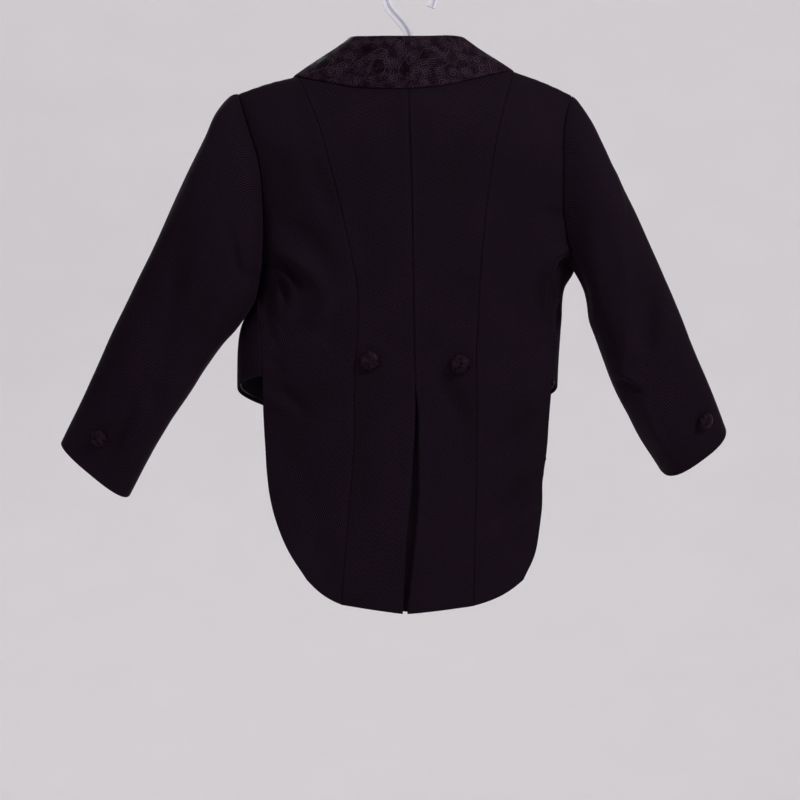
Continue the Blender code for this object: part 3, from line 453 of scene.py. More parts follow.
def foldHeight(folds, x, drop, steps=14):
    total = np.zeros_like(x)
    for fold in folds:
        start, via, end = (np.array(p, float) for p in (fold.start, fold.via, fold.end))
        t = np.linspace(0, 1, steps + 1)[:, None]
        line = (1 - t) ** 2 * start + 2 * t * (1 - t) * via + t**2 * end
        far = fold.far or fold.width
        reach = 2.6 * max(fold.width, far)  # beyond which nothing of it is left
        low, high = line.min(axis=0) - reach, line.max(axis=0) + reach
        near = (x > low[0]) & (x < high[0]) & (drop > low[1]) & (drop < high[1])
        if not near.any():
            continue
        px, pd = x[near], drop[near]
        best = np.full(px.shape, np.inf)
        along = np.zeros_like(px)
        hand = np.ones_like(px)
        for i in range(steps):
            a, d = line[i], line[i + 1] - line[i]
            share = np.clip(((px - a[0]) * d[0] + (pd - a[1]) * d[1]) / (d @ d), 0, 1)
            away = np.hypot(px - a[0] - share * d[0], pd - a[1] - share * d[1])
            closer = away < best
            along = np.where(closer, (i + share) / steps, along)
            hand = np.where(closer, np.sign(d[0] * (pd - a[1]) - d[1] * (px - a[0])), hand)
            best = np.minimum(best, away)
        taper = np.sin(np.pi * np.clip(along, 0.02, 0.98)) ** cloth["foldTaper"]
        wide = np.where(hand >= 0, fold.width, far)
        total[near] += cloth["foldDepth"] * fold.height * taper * np.exp(-((best / wide) ** 2))
    return total


Wave = namedtuple("Wave", "degrees length phase share")
driftWaves = [
    Wave(18, 131, 0.4, 1.0), Wave(63, 97, 2.1, 0.7), Wave(112, 83, 4.0, 0.6), Wave(151, 61, 1.3, 0.4),
    Wave(84, 47, 5.2, 0.3), Wave(34, 39, 3.3, 0.2),
]


def drift(x, drop, seed=0.0):
    total = np.zeros_like(x)
    for wave in driftWaves:
        turn = math.radians(wave.degrees)
        along = x * math.cos(turn) + drop * math.sin(turn)
        total += wave.share * np.sin(along * 2 * math.pi / wave.length + wave.phase + seed)
    return cloth["driftHeight"] * total / 1.6  # half of the shares' sum


def angleOf(x, drop):
    x = np.asarray(x, float)
    side = np.where(x >= 0, 1.0, -1.0)
    share = np.clip(np.abs(x) / bodyReach(side >= 0, drop, "left", "right"), 0, 0.9999)
    return side * np.degrees(np.arcsin(share ** (body["squareness"] / 2)))


def basePoint(angle, drop):  # of the body without its folds
    angle = (angle + 180) % 360 - 180
    side = np.where(angle >= 0, 1.0, -1.0)
    turn = np.radians(np.abs(angle))
    power = 2 / body["squareness"]
    across = np.abs(np.sin(turn)) ** power
    through = np.abs(np.cos(turn)) ** power * np.sign(np.cos(turn))
    x = side * bodyReach(side >= 0, drop, "left", "right") * across
    rounding = np.where(through >= 0, body["backRounding"], body["frontRounding"])
    below = np.clip((drop - shoulderDrop(x)) / rounding, 0, 1)
    y = bodyReach(through >= 0, drop, "back", "front") * through * np.sqrt(1 - (1 - below) ** 2)
    return np.stack([x, y, -drop], axis=-1)


def gridNormals(grid, sign, closed=False):
    if closed:
        across = np.roll(grid, -1, axis=1) - np.roll(grid, 1, axis=1)
    else:
        across = np.gradient(grid, axis=1)
    normal = np.cross(across, np.gradient(grid, axis=0)) * sign
    return normal / np.maximum(np.linalg.norm(normal, axis=-1, keepdims=True), 1e-9)


def bodyHeight(base):  # of folds and unevenness at points of the plain body
    x, drop = base[..., 0], -base[..., 2]
    behind = np.clip(base[..., 1] / body["sideBlend"], 0, 1)
    before = np.clip(-base[..., 1] / body["sideBlend"], 0, 1)
    settled = np.clip((drop - shoulderDrop(x)) / body["driftFrom"], 0, 1)
    return (
        behind * (foldHeight(backFolds, x, drop) + settled * drift(x, drop))
        + before * (foldHeight(frontFolds, x, drop) + settled * drift(x, drop, body["frontDrift"]))
    )


def bodyPatch(angle, drop, lift):  # places that lie that far above the cloth, from single angles and drops
    angle, drop = np.atleast_1d(np.asarray(angle, float)), np.atleast_1d(np.asarray(drop, float))
    lift = np.broadcast_to(np.asarray(lift, float), angle.shape)
    base = basePoint(angle, drop)
    aside, down = 0.6, 1.2  # degrees and millimetres to the points that the normal is taken from
    up = np.maximum(drop - down, np.minimum(drop, shoulderDrop(base[..., 0]) + 0.02))
    across = basePoint(angle + aside, drop) - basePoint(angle - aside, drop)
    normal = np.cross(across, basePoint(angle, drop + down) - basePoint(angle, up))
    normal /= np.maximum(np.linalg.norm(normal, axis=-1, keepdims=True), 1e-9)
    return base + bodyHeight(base)[..., None] * normal + lift[..., None] * normal, normal


def arcLengths(grid, axis):
    steps = np.linalg.norm(np.diff(grid, axis=axis), axis=-1)
    start = np.zeros_like(np.take(steps, [0], axis=axis))
    return np.concatenate([start, np.cumsum(steps, axis=axis)], axis=axis)


def turnedEdge(distance, radius, depth):  # how far cloth has turned down at a distance from its edge
    inside = np.clip(1 - distance / radius, 0, 1)
    return depth * (1 - np.sqrt(1 - inside**2))


def faceOutwards(mesh):
    work = bmesh.new()
    work.from_mesh(mesh)
    bmesh.ops.recalc_face_normals(work, faces=work.faces)
    work.to_mesh(mesh)
    work.free()


def makeShell(name, outer, inner, uv, finish, closed=False):
    rows, columns = outer.shape[:2]
    back = rows * columns
    turns = columns if closed else columns - 1
    r, c = np.meshgrid(np.arange(rows - 1), np.arange(turns), indexing="ij")
    a = (r * columns + c).ravel()
    b = (r * columns + (c + 1) % columns).ravel()
    quads = [
        np.stack([a, b, b + columns, a + columns], axis=1),
        np.stack([back + a, back + a + columns, back + b + columns, back + b], axis=1),
    ]
    for row in (0, rows - 1):
        a = row * columns + np.arange(turns)
        b = row * columns + (np.arange(turns) + 1) % columns
        rim = np.stack([a, back + a, back + b, b], axis=1)
        quads.append(rim if row == 0 else rim[:, ::-1])
    if not closed:
        for col in (0, columns - 1):
            a = np.arange(rows - 1) * columns + col
            rim = np.stack([a, a + columns, back + a + columns, back + a], axis=1)
            quads.append(rim if col == 0 else rim[:, ::-1])
    faces = np.concatenate(quads)
    points = np.concatenate([outer.reshape(-1, 3), inner.reshape(-1, 3)]) * mm
    mesh = bpy.data.meshes.new(name)
    mesh.from_pydata(points.tolist(), [], faces.tolist())
    flat = np.concatenate([uv.reshape(-1, 2)] * 2) * mm
    corners = flat[faces]
    if closed:  # the last column's squares run on past the first column's place
        around = arcLengths(np.concatenate([outer, outer[:, :1]], axis=1), 1)[:, -1].mean() * mm
        jump = corners[..., 0].max(axis=1) - corners[..., 0].min(axis=1) > around / 2
        corners[jump, :, 0] = np.where(
            corners[jump, :, 0] < around / 2, corners[jump, :, 0] + around, corners[jump, :, 0]
        )
    layer = mesh.uv_layers.new(name="UVMap")
    layer.data.foreach_set("uv", corners.reshape(-1).astype(np.float32))
    faceOutwards(mesh)
    mesh.shade_smooth()
    mesh.set_sharp_from_angle(angle=math.radians(50))
    mesh.materials.append(finish)
    return placeObject(name, mesh)


def declareCloth(piece, node, outer, closed=False, turnings=cloth["turnings"]):
    # the cut is the finished panel laid flat with its turnings
    wide = arcLengths(np.concatenate([outer, outer[:, :1]], axis=1) if closed else outer, 1)[:, -1].max()
    long = arcLengths(outer, 0)[-1].max()
    across, down = np.diff(outer, axis=1)[:-1], np.diff(outer, axis=0)[:, :-1]
    area = np.linalg.norm(np.cross(across, down), axis=-1).sum()
    area += 2 * turnings * (wide + long)
    flat = ((wide + 2 * turnings) * mm, (long + 2 * turnings) * mm)
    area = min(area * mm * mm, flat[0] * flat[1])
    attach(piece, "root")
    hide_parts(node)
    print(f"{piece.name}: cut {flat[0] * 1000:.0f} x {flat[1] * 1000:.0f} mm, {area * 1e4:.0f} cm2")


looks = {
    # lengths are in millimetres, and a pattern's scale is one over its length
    "suiting": {
        "dark": "#030103", "light": "#1c101c", "sheen": "#b690b8", "roughness": 0.88,
        "ribPitch": 1.9, "ribTurn": 28, "fibre": 1.613, "cloud": 55.56,
    },
    "jacquard": {
        # the figure's colour is a painted gloss: it stands in for the sheen of its floats, the yarn being one
        # colour
        "ground": "#050205", "paintedFigureGloss": "#372834", "satin": "#050204", "gloss": "#c9a3be",
        "motif": 27.0, "leaf": 7.5, "leafSpread": 3.5, "echoPitch": 1.9, "breaks": 6.25, "speck": 1.613,
        "curls": 2.6,  # across one motif
        "curlRadius": 3.4, "beadRadius": 4.3, "beads": 11.0,
    },
    "lining": {"dark": "#151015", "light": "#1d161d", "roughness": 0.3},
    # the button's light is a painted gloss on the cut figure; its dark is the yarn's own colour
    "button": {"dark": "#010001", "light": "#190f17", "gloss": "#c9a3be"},
    "hanger": {"dark": "#dcd9e4", "light": "#eceaf2", "roughness": 0.32},
    "thread": {"dark": "#080508", "light": "#110b11"},
}


def suitingTwill():
    # Black polyester and viscose suiting, a 2/2 twill, piece dyed and pressed. It is nearly matt with a faint
    # plum cast. Real ribs stand 0.5 mm apart and are drawn about four times as coarse so that they show.
    look = looks["suiting"]
    made, tree, shader = newMaterial("suitingTwill")
    place = addNode(tree, "ShaderNodeUVMap")
    turned = addNode(
        tree, "ShaderNodeMapping",
        inputs={
            "Vector": place.outputs["UV"], "Scale": (1000, 1000, 1000),
            "Rotation": (0, 0, math.radians(look["ribTurn"])),
        },
    )
    ribs = addNode(
        tree, "ShaderNodeTexWave", {"wave_type": "BANDS", "bands_direction": "X", "wave_profile": "SIN"},
        {
            # a wave texture's own band is 0.314 long
            "Vector": turned.outputs[0], "Scale": 0.314 / look["ribPitch"], "Distortion": 1.2, "Detail": 1.0,
            "Detail Scale": 1.5,
        },
    )
    fibre = addNode(
        tree, "ShaderNodeTexNoise", {"noise_dimensions": "2D"},
        {"Vector": turned.outputs[0], "Scale": 1 / look["fibre"], "Detail": 3.0, "Roughness": 0.75},
    )
    cloud = addNode(
        tree, "ShaderNodeTexNoise", {"noise_dimensions": "2D"},
        {"Vector": turned.outputs[0], "Scale": 1 / look["cloud"], "Detail": 3.0, "Roughness": 0.55},
    )
    mixed = addNode(
        tree, "ShaderNodeMix", {"data_type": "FLOAT"},
        {0: 0.35, 2: fibre.outputs["Fac"], 3: ribs.outputs["Fac"]},
    )
    speckle = addNode(
        tree, "ShaderNodeMapRange", inputs={"Value": mixed.outputs[0], "From Min": 0.40, "From Max": 0.62}
    )
    tint = addNode(
        tree, "ShaderNodeMix", {"data_type": "RGBA"},
        {0: speckle.outputs[0], 6: linear(look["dark"]), 7: linear(look["light"])},
    )
    worn = addNode(
        tree, "ShaderNodeMapRange",
        inputs={
            "Value": cloud.outputs["Fac"], "From Min": 0.3, "From Max": 0.7, "To Min": 0.86, "To Max": 1.14,
        },
    )
    colour = addNode(
        tree, "ShaderNodeVectorMath", {"operation": "SCALE"}, {0: tint.outputs[2], "Scale": worn.outputs[0]}
    )
    dull = addNode(
        tree, "ShaderNodeMapRange",
        inputs={
            "Value": mixed.outputs[0], "To Min": look["roughness"] + 0.06, "To Max": look["roughness"] - 0.08,
        },
    )
    bump = addNode(
        tree, "ShaderNodeBump", inputs={"Height": mixed.outputs[0], "Strength": 0.35, "Distance": 0.00012}
    )
    setInputs(tree, shader, {
        "Base Color": colour.outputs[0], "Roughness": dull.outputs[0], "Normal": bump.outputs[0], "IOR": 1.45,
        "Specular IOR Level": 0.07, "Sheen Weight": 0.03, "Sheen Roughness": 0.35,
        "Sheen Tint": linear(look["sheen"]),
    })
    return made


def paisleyJacquard():
    # Black acetate jacquard: paisley leaves in warp satin, each ringed by fine echo lines and small curls, on
    # a dull ground. The yarn is one colour, so the figure shows by its gloss and by the edges of its floats,
    # and its lines are coloured lighter here as a painted gloss.
    look = looks["jacquard"]
    made, tree, shader = newMaterial("paisleyJacquard")
    wave = 2 * math.pi / look["echoPitch"]
    place = addNode(tree, "ShaderNodeUVMap")
    scaled = addNode(
        tree, "ShaderNodeMapping", inputs={"Vector": place.outputs["UV"], "Scale": (1000, 1000, 1000)}
    )
    cells = addNode(
        tree, "ShaderNodeTexVoronoi", {"voronoi_dimensions": "2D", "feature": "F1"},
        {"Vector": scaled.outputs[0], "Scale": 1 / look["motif"], "Randomness": 0.55},
    )
    away = addNode(
        tree, "ShaderNodeVectorMath", {"operation": "SUBTRACT"},
        {0: scaled.outputs[0], 1: cells.outputs["Position"]},
    )
    chance = addNode(tree, "ShaderNodeSeparateColor", inputs={0: cells.outputs["Color"]})
    turned = addNode(
        tree, "ShaderNodeVectorRotate", {"rotation_type": "Z_AXIS"},
        {"Vector": away.outputs[0], "Angle": ("MULTIPLY", chance.outputs[0], 2 * math.pi)},
    )
    parts = addNode(tree, "ShaderNodeSeparateXYZ", inputs={0: turned.outputs[0]})
    aside, along = parts.outputs[0], parts.outputs[1]
    # a leaf is a teardrop whose point curls over: its half width along its own bent length
    bent = ("MULTIPLY_ADD", ("MULTIPLY", along, along), 0.045, aside)
    size = addNode(
        tree, "ShaderNodeMath", {"operation": "MULTIPLY_ADD"},
        {0: chance.outputs[1], 1: look["leafSpread"], 2: look["leaf"]},
    ).outputs[0]
    share = addNode(tree, "ShaderNodeMath", {"operation": "DIVIDE"}, {0: along, 1: size}).outputs[0]
    width = ("SQRT", ("MAXIMUM", ("SUBTRACT", 1.0, ("MULTIPLY", share, share)), 0.0))
    width = ("MULTIPLY", width, ("MULTIPLY_ADD", share, -0.5, 0.62))
    width = ("MULTIPLY", width, ("MULTIPLY", size, 0.85))
    edge = addNode(
        tree, "ShaderNodeMath", {"operation": "SUBTRACT"}, {0: ("ABSOLUTE", bent), 1: width}
    ).outputs[0]
    leaf = addNode(
        tree, "ShaderNodeMapRange", {"interpolation_type": "SMOOTHSTEP"},
        {"Value": edge, "From Min": 0.25, "From Max": -0.25},
    ).outputs[0]
    # echo lines outside it, broken up, then an outline and a vein inside, all drawn in painted gloss
    breaks = addNode(
        tree, "ShaderNodeTexNoise", {"noise_dimensions": "2D"},
        {"Vector": scaled.outputs[0], "Scale": 1 / look["breaks"], "Detail": 1.0},
    )
    shownEcho = addNode(
        tree, "ShaderNodeMapRange",
        inputs={"Value": breaks.outputs["Fac"], "From Min": 0.44, "From Max": 0.58},
    ).outputs[0]
    echo = ("MAXIMUM", ("MULTIPLY_ADD", ("SINE", ("MULTIPLY", edge, wave)), 1.5, -0.5), 0.0)
    echo = ("MULTIPLY", echo, shownEcho)
    outline = ("MAXIMUM", ("SUBTRACT", 1.0, ("MULTIPLY", ("ABSOLUTE", edge), 2.4)), 0.0)
    vein = ("MAXIMUM", ("SUBTRACT", 1.0, ("MULTIPLY", ("ABSOLUTE", ("ADD", edge, 2.2)), 3.0)), 0.0)
    # curls between the leaves: one-armed spirals with a chain of beads round some of them
    small = addNode(
        tree, "ShaderNodeTexVoronoi", {"voronoi_dimensions": "2D", "feature": "F1"},
        {"Vector": scaled.outputs[0], "Scale": look["curls"] / look["motif"], "Randomness": 0.75},
    )
    fromCurl = addNode(
        tree, "ShaderNodeVectorMath", {"operation": "SUBTRACT"},
        {0: scaled.outputs[0], 1: small.outputs["Position"]},
    )
    curlParts = addNode(tree, "ShaderNodeSeparateXYZ", inputs={0: fromCurl.outputs[0]})
    radius = addNode(
        tree, "ShaderNodeVectorMath", {"operation": "LENGTH"}, {0: fromCurl.outputs[0]}
    ).outputs["Value"]
    angle = addNode(
        tree, "ShaderNodeMath", {"operation": "ARCTAN2"}, {0: curlParts.outputs[1], 1: curlParts.outputs[0]}
    ).outputs[0]
    arm = ("SINE", ("MULTIPLY_ADD", radius, wave, angle))
    curl = ("MAXIMUM", ("MULTIPLY_ADD", arm, 1.4, -0.4), 0.0)
    curl = ("MULTIPLY", curl, ("LESS_THAN", radius, look["curlRadius"]))
    beads = ("MAXIMUM", ("SINE", ("MULTIPLY", angle, look["beads"])), 0.0)
    fromRing = ("ABSOLUTE", ("SUBTRACT", radius, look["beadRadius"]))
    ring = ("MAXIMUM", ("SUBTRACT", 1.0, ("MULTIPLY", fromRing, 1.7)), 0.0)
    curl = ("MAXIMUM", curl, ("MULTIPLY", beads, ring))
    curl = ("MULTIPLY", curl, ("GREATER_THAN", edge, 1.2))
    lines = addNode(
        tree, "ShaderNodeMath", {"operation": "MAXIMUM"},
        {
            0: ("MAXIMUM", curl, ("MULTIPLY", echo, 0.75)),
            1: ("MAXIMUM", outline, ("MULTIPLY", vein, 0.5)),
        },
    ).outputs[0]
    # speckle of the ground, drawn at 1.6 mm for yarns of 0.3 mm
    speck = addNode(
        tree, "ShaderNodeTexNoise", {"noise_dimensions": "2D"},
        {"Vector": scaled.outputs[0], "Scale": 1 / look["speck"], "Detail": 2.0, "Roughness": 0.65},
    )
    ground = addNode(
        tree, "ShaderNodeMapRange",
        inputs={
            "Value": speck.outputs["Fac"], "From Min": 0.35, "From Max": 0.75, "To Min": 0.0, "To Max": 0.24,
        },
    ).outputs[0]
    shown = addNode(
        tree, "ShaderNodeMath", {"operation": "MAXIMUM"},
        {0: lines, 1: ("MULTIPLY", ground, ("SUBTRACT", 1.0, leaf))},
    ).outputs[0]
    # painted gloss: the lines, and faintly the ground's speckle, are coloured lighter in place of the
    # figure's sheen
    tint = addNode(
        tree, "ShaderNodeMix", {"data_type": "RGBA"},
        {0: shown, 6: linear(look["ground"]), 7: linear(look["paintedFigureGloss"])},
    )
    tinted = addNode(
        tree, "ShaderNodeMix", {"data_type": "RGBA"},
        {0: ("MULTIPLY", leaf, ("SUBTRACT", 1.0, lines)), 6: tint.outputs[2], 7: linear(look["satin"])},
    )
    gloss = addNode(
        tree, "ShaderNodeMapRange", inputs={"Value": lines, "To Min": 0.78, "To Max": 0.6}
    ).outputs[0]
    bump = addNode(tree, "ShaderNodeBump", inputs={"Height": shown, "Strength": 0.4, "Distance": 0.0002})
    setInputs(tree, shader, {
        "Base Color": tinted.outputs[2], "Roughness": ("MULTIPLY_ADD", leaf, -0.22, gloss),
        "Normal": bump.outputs[0], "IOR": 1.48, "Specular IOR Level": 0.09,
        "Specular Tint": linear(look["gloss"]),
    })
    return made


def satinLining():
    # Black polyester lining satin, calendered: smooth, with long soft highlights across the floats.
    look = looks["lining"]
    made, tree, shader = newMaterial("satinLining")
    place = addNode(tree, "ShaderNodeUVMap")
    drawn = addNode(
        tree, "ShaderNodeMapping", inputs={"Vector": place.outputs["UV"], "Scale": (1800, 240, 1000)}
    )
    floats = addNode(
        tree, "ShaderNodeTexNoise", {"noise_dimensions": "2D"},
        {"Vector": drawn.outputs[0], "Scale": 1.0, "Detail": 2.0},
    )
    tint = addNode(
        tree, "ShaderNodeMix", {"data_type": "RGBA"},
        {0: floats.outputs["Fac"], 6: linear(look["dark"]), 7: linear(look["light"])},
    )
    bump = addNode(
        tree, "ShaderNodeBump", inputs={"Height": floats.outputs["Fac"], "Strength": 0.2, "Distance": 0.0001}
    )
    setInputs(tree, shader, {
        "Base Color": tint.outputs[2], "Normal": bump.outputs[0], "Roughness": look["roughness"], "IOR": 1.5,
        "Anisotropic": 0.4,
    })
    return made


def coveredButtonSatin():
    # The collar's jacquard stretched over a metal shell: taut satin floats, mottled where the figure is cut.
    # The mottle's lighter colour is a painted gloss; the figure itself is the same one-colour yarn.
    look = looks["button"]
    made, tree, shader = newMaterial("coveredButtonSatin")
    place = addNode(tree, "ShaderNodeTexCoord")
    mottle = addNode(
        tree, "ShaderNodeTexNoise", inputs={"Vector": place.outputs["Object"], "Scale": 330.0, "Detail": 2.0}
    )
    spots = addNode(tree, "ShaderNodeTexVoronoi", inputs={"Vector": place.outputs["Object"], "Scale": 420.0})
    mixed = addNode(
        tree, "ShaderNodeMix", {"data_type": "FLOAT"},
        {0: 0.4, 2: mottle.outputs["Fac"], 3: spots.outputs["Distance"]},
    )
    paintedFigureGloss = addNode(
        tree, "ShaderNodeMapRange", inputs={"Value": mixed.outputs[0], "From Min": 0.36, "From Max": 0.56}
    )
    # painted gloss: the figure's mottle takes the lighter colour in place of its sheen
    tint = addNode(
        tree, "ShaderNodeMix", {"data_type": "RGBA"},
        {0: paintedFigureGloss.outputs[0], 6: linear(look["dark"]), 7: linear(look["light"])},
    )
    gloss = addNode(
        tree, "ShaderNodeMapRange",
        inputs={"Value": mixed.outputs[0], "From Min": 0.3, "From Max": 0.7, "To Min": 0.6, "To Max": 0.36},
    )
    bump = addNode(
        tree, "ShaderNodeBump", inputs={"Height": mixed.outputs[0], "Strength": 0.9, "Distance": 0.0006}
    )
    setInputs(tree, shader, {
        "Base Color": tint.outputs[2], "Roughness": gloss.outputs[0], "Normal": bump.outputs[0], "IOR": 1.5,
        "Specular IOR Level": 0.09, "Specular Tint": linear(look["gloss"]),
    })
    return made


def mouldedPolystyrene():
    # Milky injection-moulded polystyrene: glossy skin, slightly translucent, with faint flow marks.
    look = looks["hanger"]
    made, tree, shader = newMaterial("mouldedPolystyrene")
    place = addNode(tree, "ShaderNodeTexCoord")
    flow = addNode(
        tree, "ShaderNodeTexNoise", inputs={"Vector": place.outputs["Object"], "Scale": 90.0, "Detail": 2.0}
    )
    tint = addNode(
        tree, "ShaderNodeMix", {"data_type": "RGBA"},
        {0: flow.outputs["Fac"], 6: linear(look["dark"]), 7: linear(look["light"])},
    )
    bump = addNode(
        tree, "ShaderNodeBump", inputs={"Height": flow.outputs["Fac"], "Strength": 0.15, "Distance": 0.0002}
    )
    setInputs(tree, shader, {
        "Base Color": tint.outputs[2], "Normal": bump.outputs[0], "Roughness": look["roughness"], "IOR": 1.59,
        "Transmission Weight": 0.15,
    })
    return made


def polyesterThread():
    # Black spun polyester sewing thread: two twisted plies with a slight fibre sheen.
    look = looks["thread"]
    made, tree, shader = newMaterial("polyesterThread")
    place = addNode(tree, "ShaderNodeTexCoord")
    ply = addNode(
        tree, "ShaderNodeTexWave", {"bands_direction": "DIAGONAL"},
        {"Vector": place.outputs["Object"], "Scale": 700.0},
    )
    tint = addNode(
        tree, "ShaderNodeMix", {"data_type": "RGBA"},
        {0: ply.outputs["Fac"], 6: linear(look["dark"]), 7: linear(look["light"])},
    )
    setInputs(tree, shader, {"Base Color": tint.outputs[2], "Roughness": 0.75, "Specular IOR Level": 0.1})
    return made


suiting = suitingTwill()
jacquard = paisleyJacquard()
lining = satinLining()
buttonSatin = coveredButtonSatin()
polystyrene = mouldedPolystyrene()
thread = polyesterThread()
print("materials made")


def rowPlaces(length, fromRidge, step):
    # distances down a panel, closer together over the shoulder's roll and at the edges
    near = np.array([0.0, *cloth["edgeRows"]])
    start = body["rollReach"] * np.linspace(0, 1, body["rollRows"]) ** 2 if fromRidge else near
    end = length - near[::-1]
    count = max(int((end[0] - start[-1]) / step), 2)
    return np.concatenate([start, np.linspace(start[-1], end[0], count + 1)[1:-1], end])


def sharesAcross(width, step):
    edge = np.array(cloth["edgeRows"])
    near = np.minimum(edge, width[:, None] * edge / 10) / width[:, None]
    count = max(int(width.max() / step), 3)
    middle = near[:, -1:] + (1 - 2 * near[:, -1:]) * np.linspace(0, 1, count)[None, :]
    zero = np.zeros((len(width), 1))
    return np.concatenate([zero, near[:, :-1], middle, 1 - near[:, -2::-1], zero + 1], axis=1)


def fade(distance, reach):
    return np.clip(1 - distance / reach, 0, 1) ** 2


def mixRows(low, high, share):
    return low[:, None] + (high - low)[:, None] * share


def layPanel(edges, places, topAt, hemBow=0.0, hemReach=25.0):
    # the panel's grid on the plain body, from its two long edges, its top edge and the bow of its hem
    lowAngle, lowDrop, highAngle, highDrop = edges
    trial = np.linspace(0, 1, 25)[None, :]
    grid = basePoint(mixRows(lowAngle, highAngle, trial), mixRows(lowDrop, highDrop, trial))
    share = sharesAcross(arcLengths(grid, 1)[:, -1], cloth["step"])
    drops = mixRows(lowDrop, highDrop, share)
    angles = mixRows(lowAngle, highAngle, share)
    topAngle, topDrop = topAt(share[0])
    faded = fade(places, body["topReach"])[:, None]
    drops = drops + (topDrop - drops[0]) * faded
    angles = angles + (topAngle - angles[0]) * faded
    drops = drops + hemBow * np.sin(np.pi * share) * fade(places[-1] - places, hemReach)[:, None]
    return angles, drops


edgeShapes = {  # radius of the turn, and its depth on the outer and the inner face
    "seam": (cloth["seamRadius"], cloth["seamDip"], 0.0),
    "collarSeam": (cloth["collarSeamRadius"], cloth["collarSeamDip"], 0.0),
    "free": (cloth["edgeRadius"], cloth["edgeDip"], cloth["edgeDip"]),
    "none": (1.0, 0.0, 0.0),
}


def edgesOf(low, high, top, bottom):
    return {"low": low, "high": high, "top": top, "bottom": bottom}


def clothWalls(base, height, sign, thickness, edges, below=0.0, ridge=0, closed=False):
    # both faces of a panel, folds, seam turnings and puckers included
    normal = gridNormals(base, sign, closed)
    down = arcLengths(base, 0)
    across = arcLengths(base, 1)
    distances = edgesOf(across, across[:, -1:] - across, down, down[-1:] - down)
    outerDip = np.zeros(base.shape[:2])
    innerDip = np.zeros(base.shape[:2])
    relief = np.zeros(base.shape[:2])
    for name, distance in distances.items():
        if closed and name in ("low", "high"):
            continue
        radius, outer, inner = edgeShapes[edges[name]]
        outerDip = np.maximum(outerDip, turnedEdge(distance, radius, outer))
        innerDip = np.maximum(innerDip, turnedEdge(distance, radius, inner))
        if edges[name] == "seam" and not below:
            run = down if name in ("low", "high") else across
            wander = 1.6 * np.sin(run / cloth["puckerDrift"])
            ripple = np.sin(run * 2 * math.pi / cloth["puckerLength"] + wander)
            dying = np.exp(-distance / cloth["puckerReach"]) * np.clip(distance / 1.5, 0, 1)
            relief += cloth["puckerHeight"] * ripple * dying
            step = np.exp((distance - cloth["allowanceWidth"]) / cloth["allowanceBlend"])
            relief += cloth["allowanceHeight"] / (1 + step)
    outer = base + (height + relief)[..., None] * normal
    normal = gridNormals(outer, sign, closed)
    if ridge:  # the shoulder seam's turning is upright, so that both sides of it meet
        onRidge = np.abs(base[0, :, 2] + shoulderDrop(base[0, :, 0])) < 0.5
        normal[0, onRidge, 1] = 0.0
        normal[0] /= np.linalg.norm(normal[0], axis=-1, keepdims=True)
        outer[0, onRidge, 1] += ridge * cloth["seamGap"] / 2
    inner = outer - (below + thickness - innerDip)[..., None] * normal
    outer = outer - (below + outerDip)[..., None] * normal
    return outer, inner


def flatMap(outer):  # a panel's flat pattern, with its middle column's lengths down it
    across = arcLengths(outer, 1)
    middle = outer.shape[1] // 2
    down = arcLengths(outer, 0)[:, middle : middle + 1]
    return np.stack([across, np.broadcast_to(-down, across.shape)], axis=-1)


def suitingPanel(node, angles, drops, sign, edges, ridge):
    base = basePoint(angles, drops)
    outer, inner = clothWalls(base, bodyHeight(base), sign, cloth["thickness"], edges, ridge=ridge)
    piece = makeShell(f"{node}_cloth", outer, inner, flatMap(outer), suiting)
    declareCloth(piece, node, outer)


def outerEdge(side):  # of a side back: armhole, side seam and free tail edge, on one smooth line
    if side > 0:
        armhole, rest = armholeBackLeft, sideSeamLeft + tailEdgeLeft
    else:
        armhole, rest = armholeBackRight, sideSeamRight + tailEdgeRight
    points = np.array([(e.x, e.drop) for e in armhole + rest], float)
    keys = arcLengths(points[None], 1)[0]
    return keys, points, len(armhole) - 1


def backRows(side):
    keys, points, _ = outerEdge(side)
    places = rowPlaces(keys[-1], True, cloth["step"])
    edge = curveThrough(keys, points, places)
    seam = princessLeft if side > 0 else princessRight
    hem = body["hemLeft"] if side > 0 else body["hemRight"]
    share = (edge[:, 1] - edge[0, 1]) / (edge[-1, 1] - edge[0, 1])
    seamTop = float(shoulderDrop(seam[0].x))
    seamDrop = seamTop + share * (hem - seamTop)
    centreDrop = body["neckDrop"] + share * (body["hemCentre"] - body["neckDrop"])
    return places, edge[:, 0], edge[:, 1], seam, seamDrop, centreDrop


def neckDrop(x, side):
    neckX = body["neckLeft"] if side > 0 else body["neckRight"]
    return body["neckDrop"] + (float(shoulderDrop(neckX)) - body["neckDrop"]) * (np.abs(x) / abs(neckX)) ** 2


def sideBack(side, word):
    places, outerX, outerDrop, seam, seamDrop, _ = backRows(side)
    gap = side * cloth["seamGap"] / 2
    seamX = smooth(seamDrop, seam, "drop", "x") + gap
    outerX = outerX - gap

    def topLine(share):
        x = seamX[0] + (outerX[0] - seamX[0]) * share
        drop = shoulderDrop(x)
        return angleOf(x, drop), drop

    edges = (angleOf(seamX, seamDrop), seamDrop, angleOf(outerX, outerDrop), outerDrop)
    angles, drops = layPanel(edges, places, topLine, body["tailHemBow"])
    suitingPanel(f"back_side_{word}", angles, drops, side, edgesOf("seam", "free", "seam", "free"), 1)


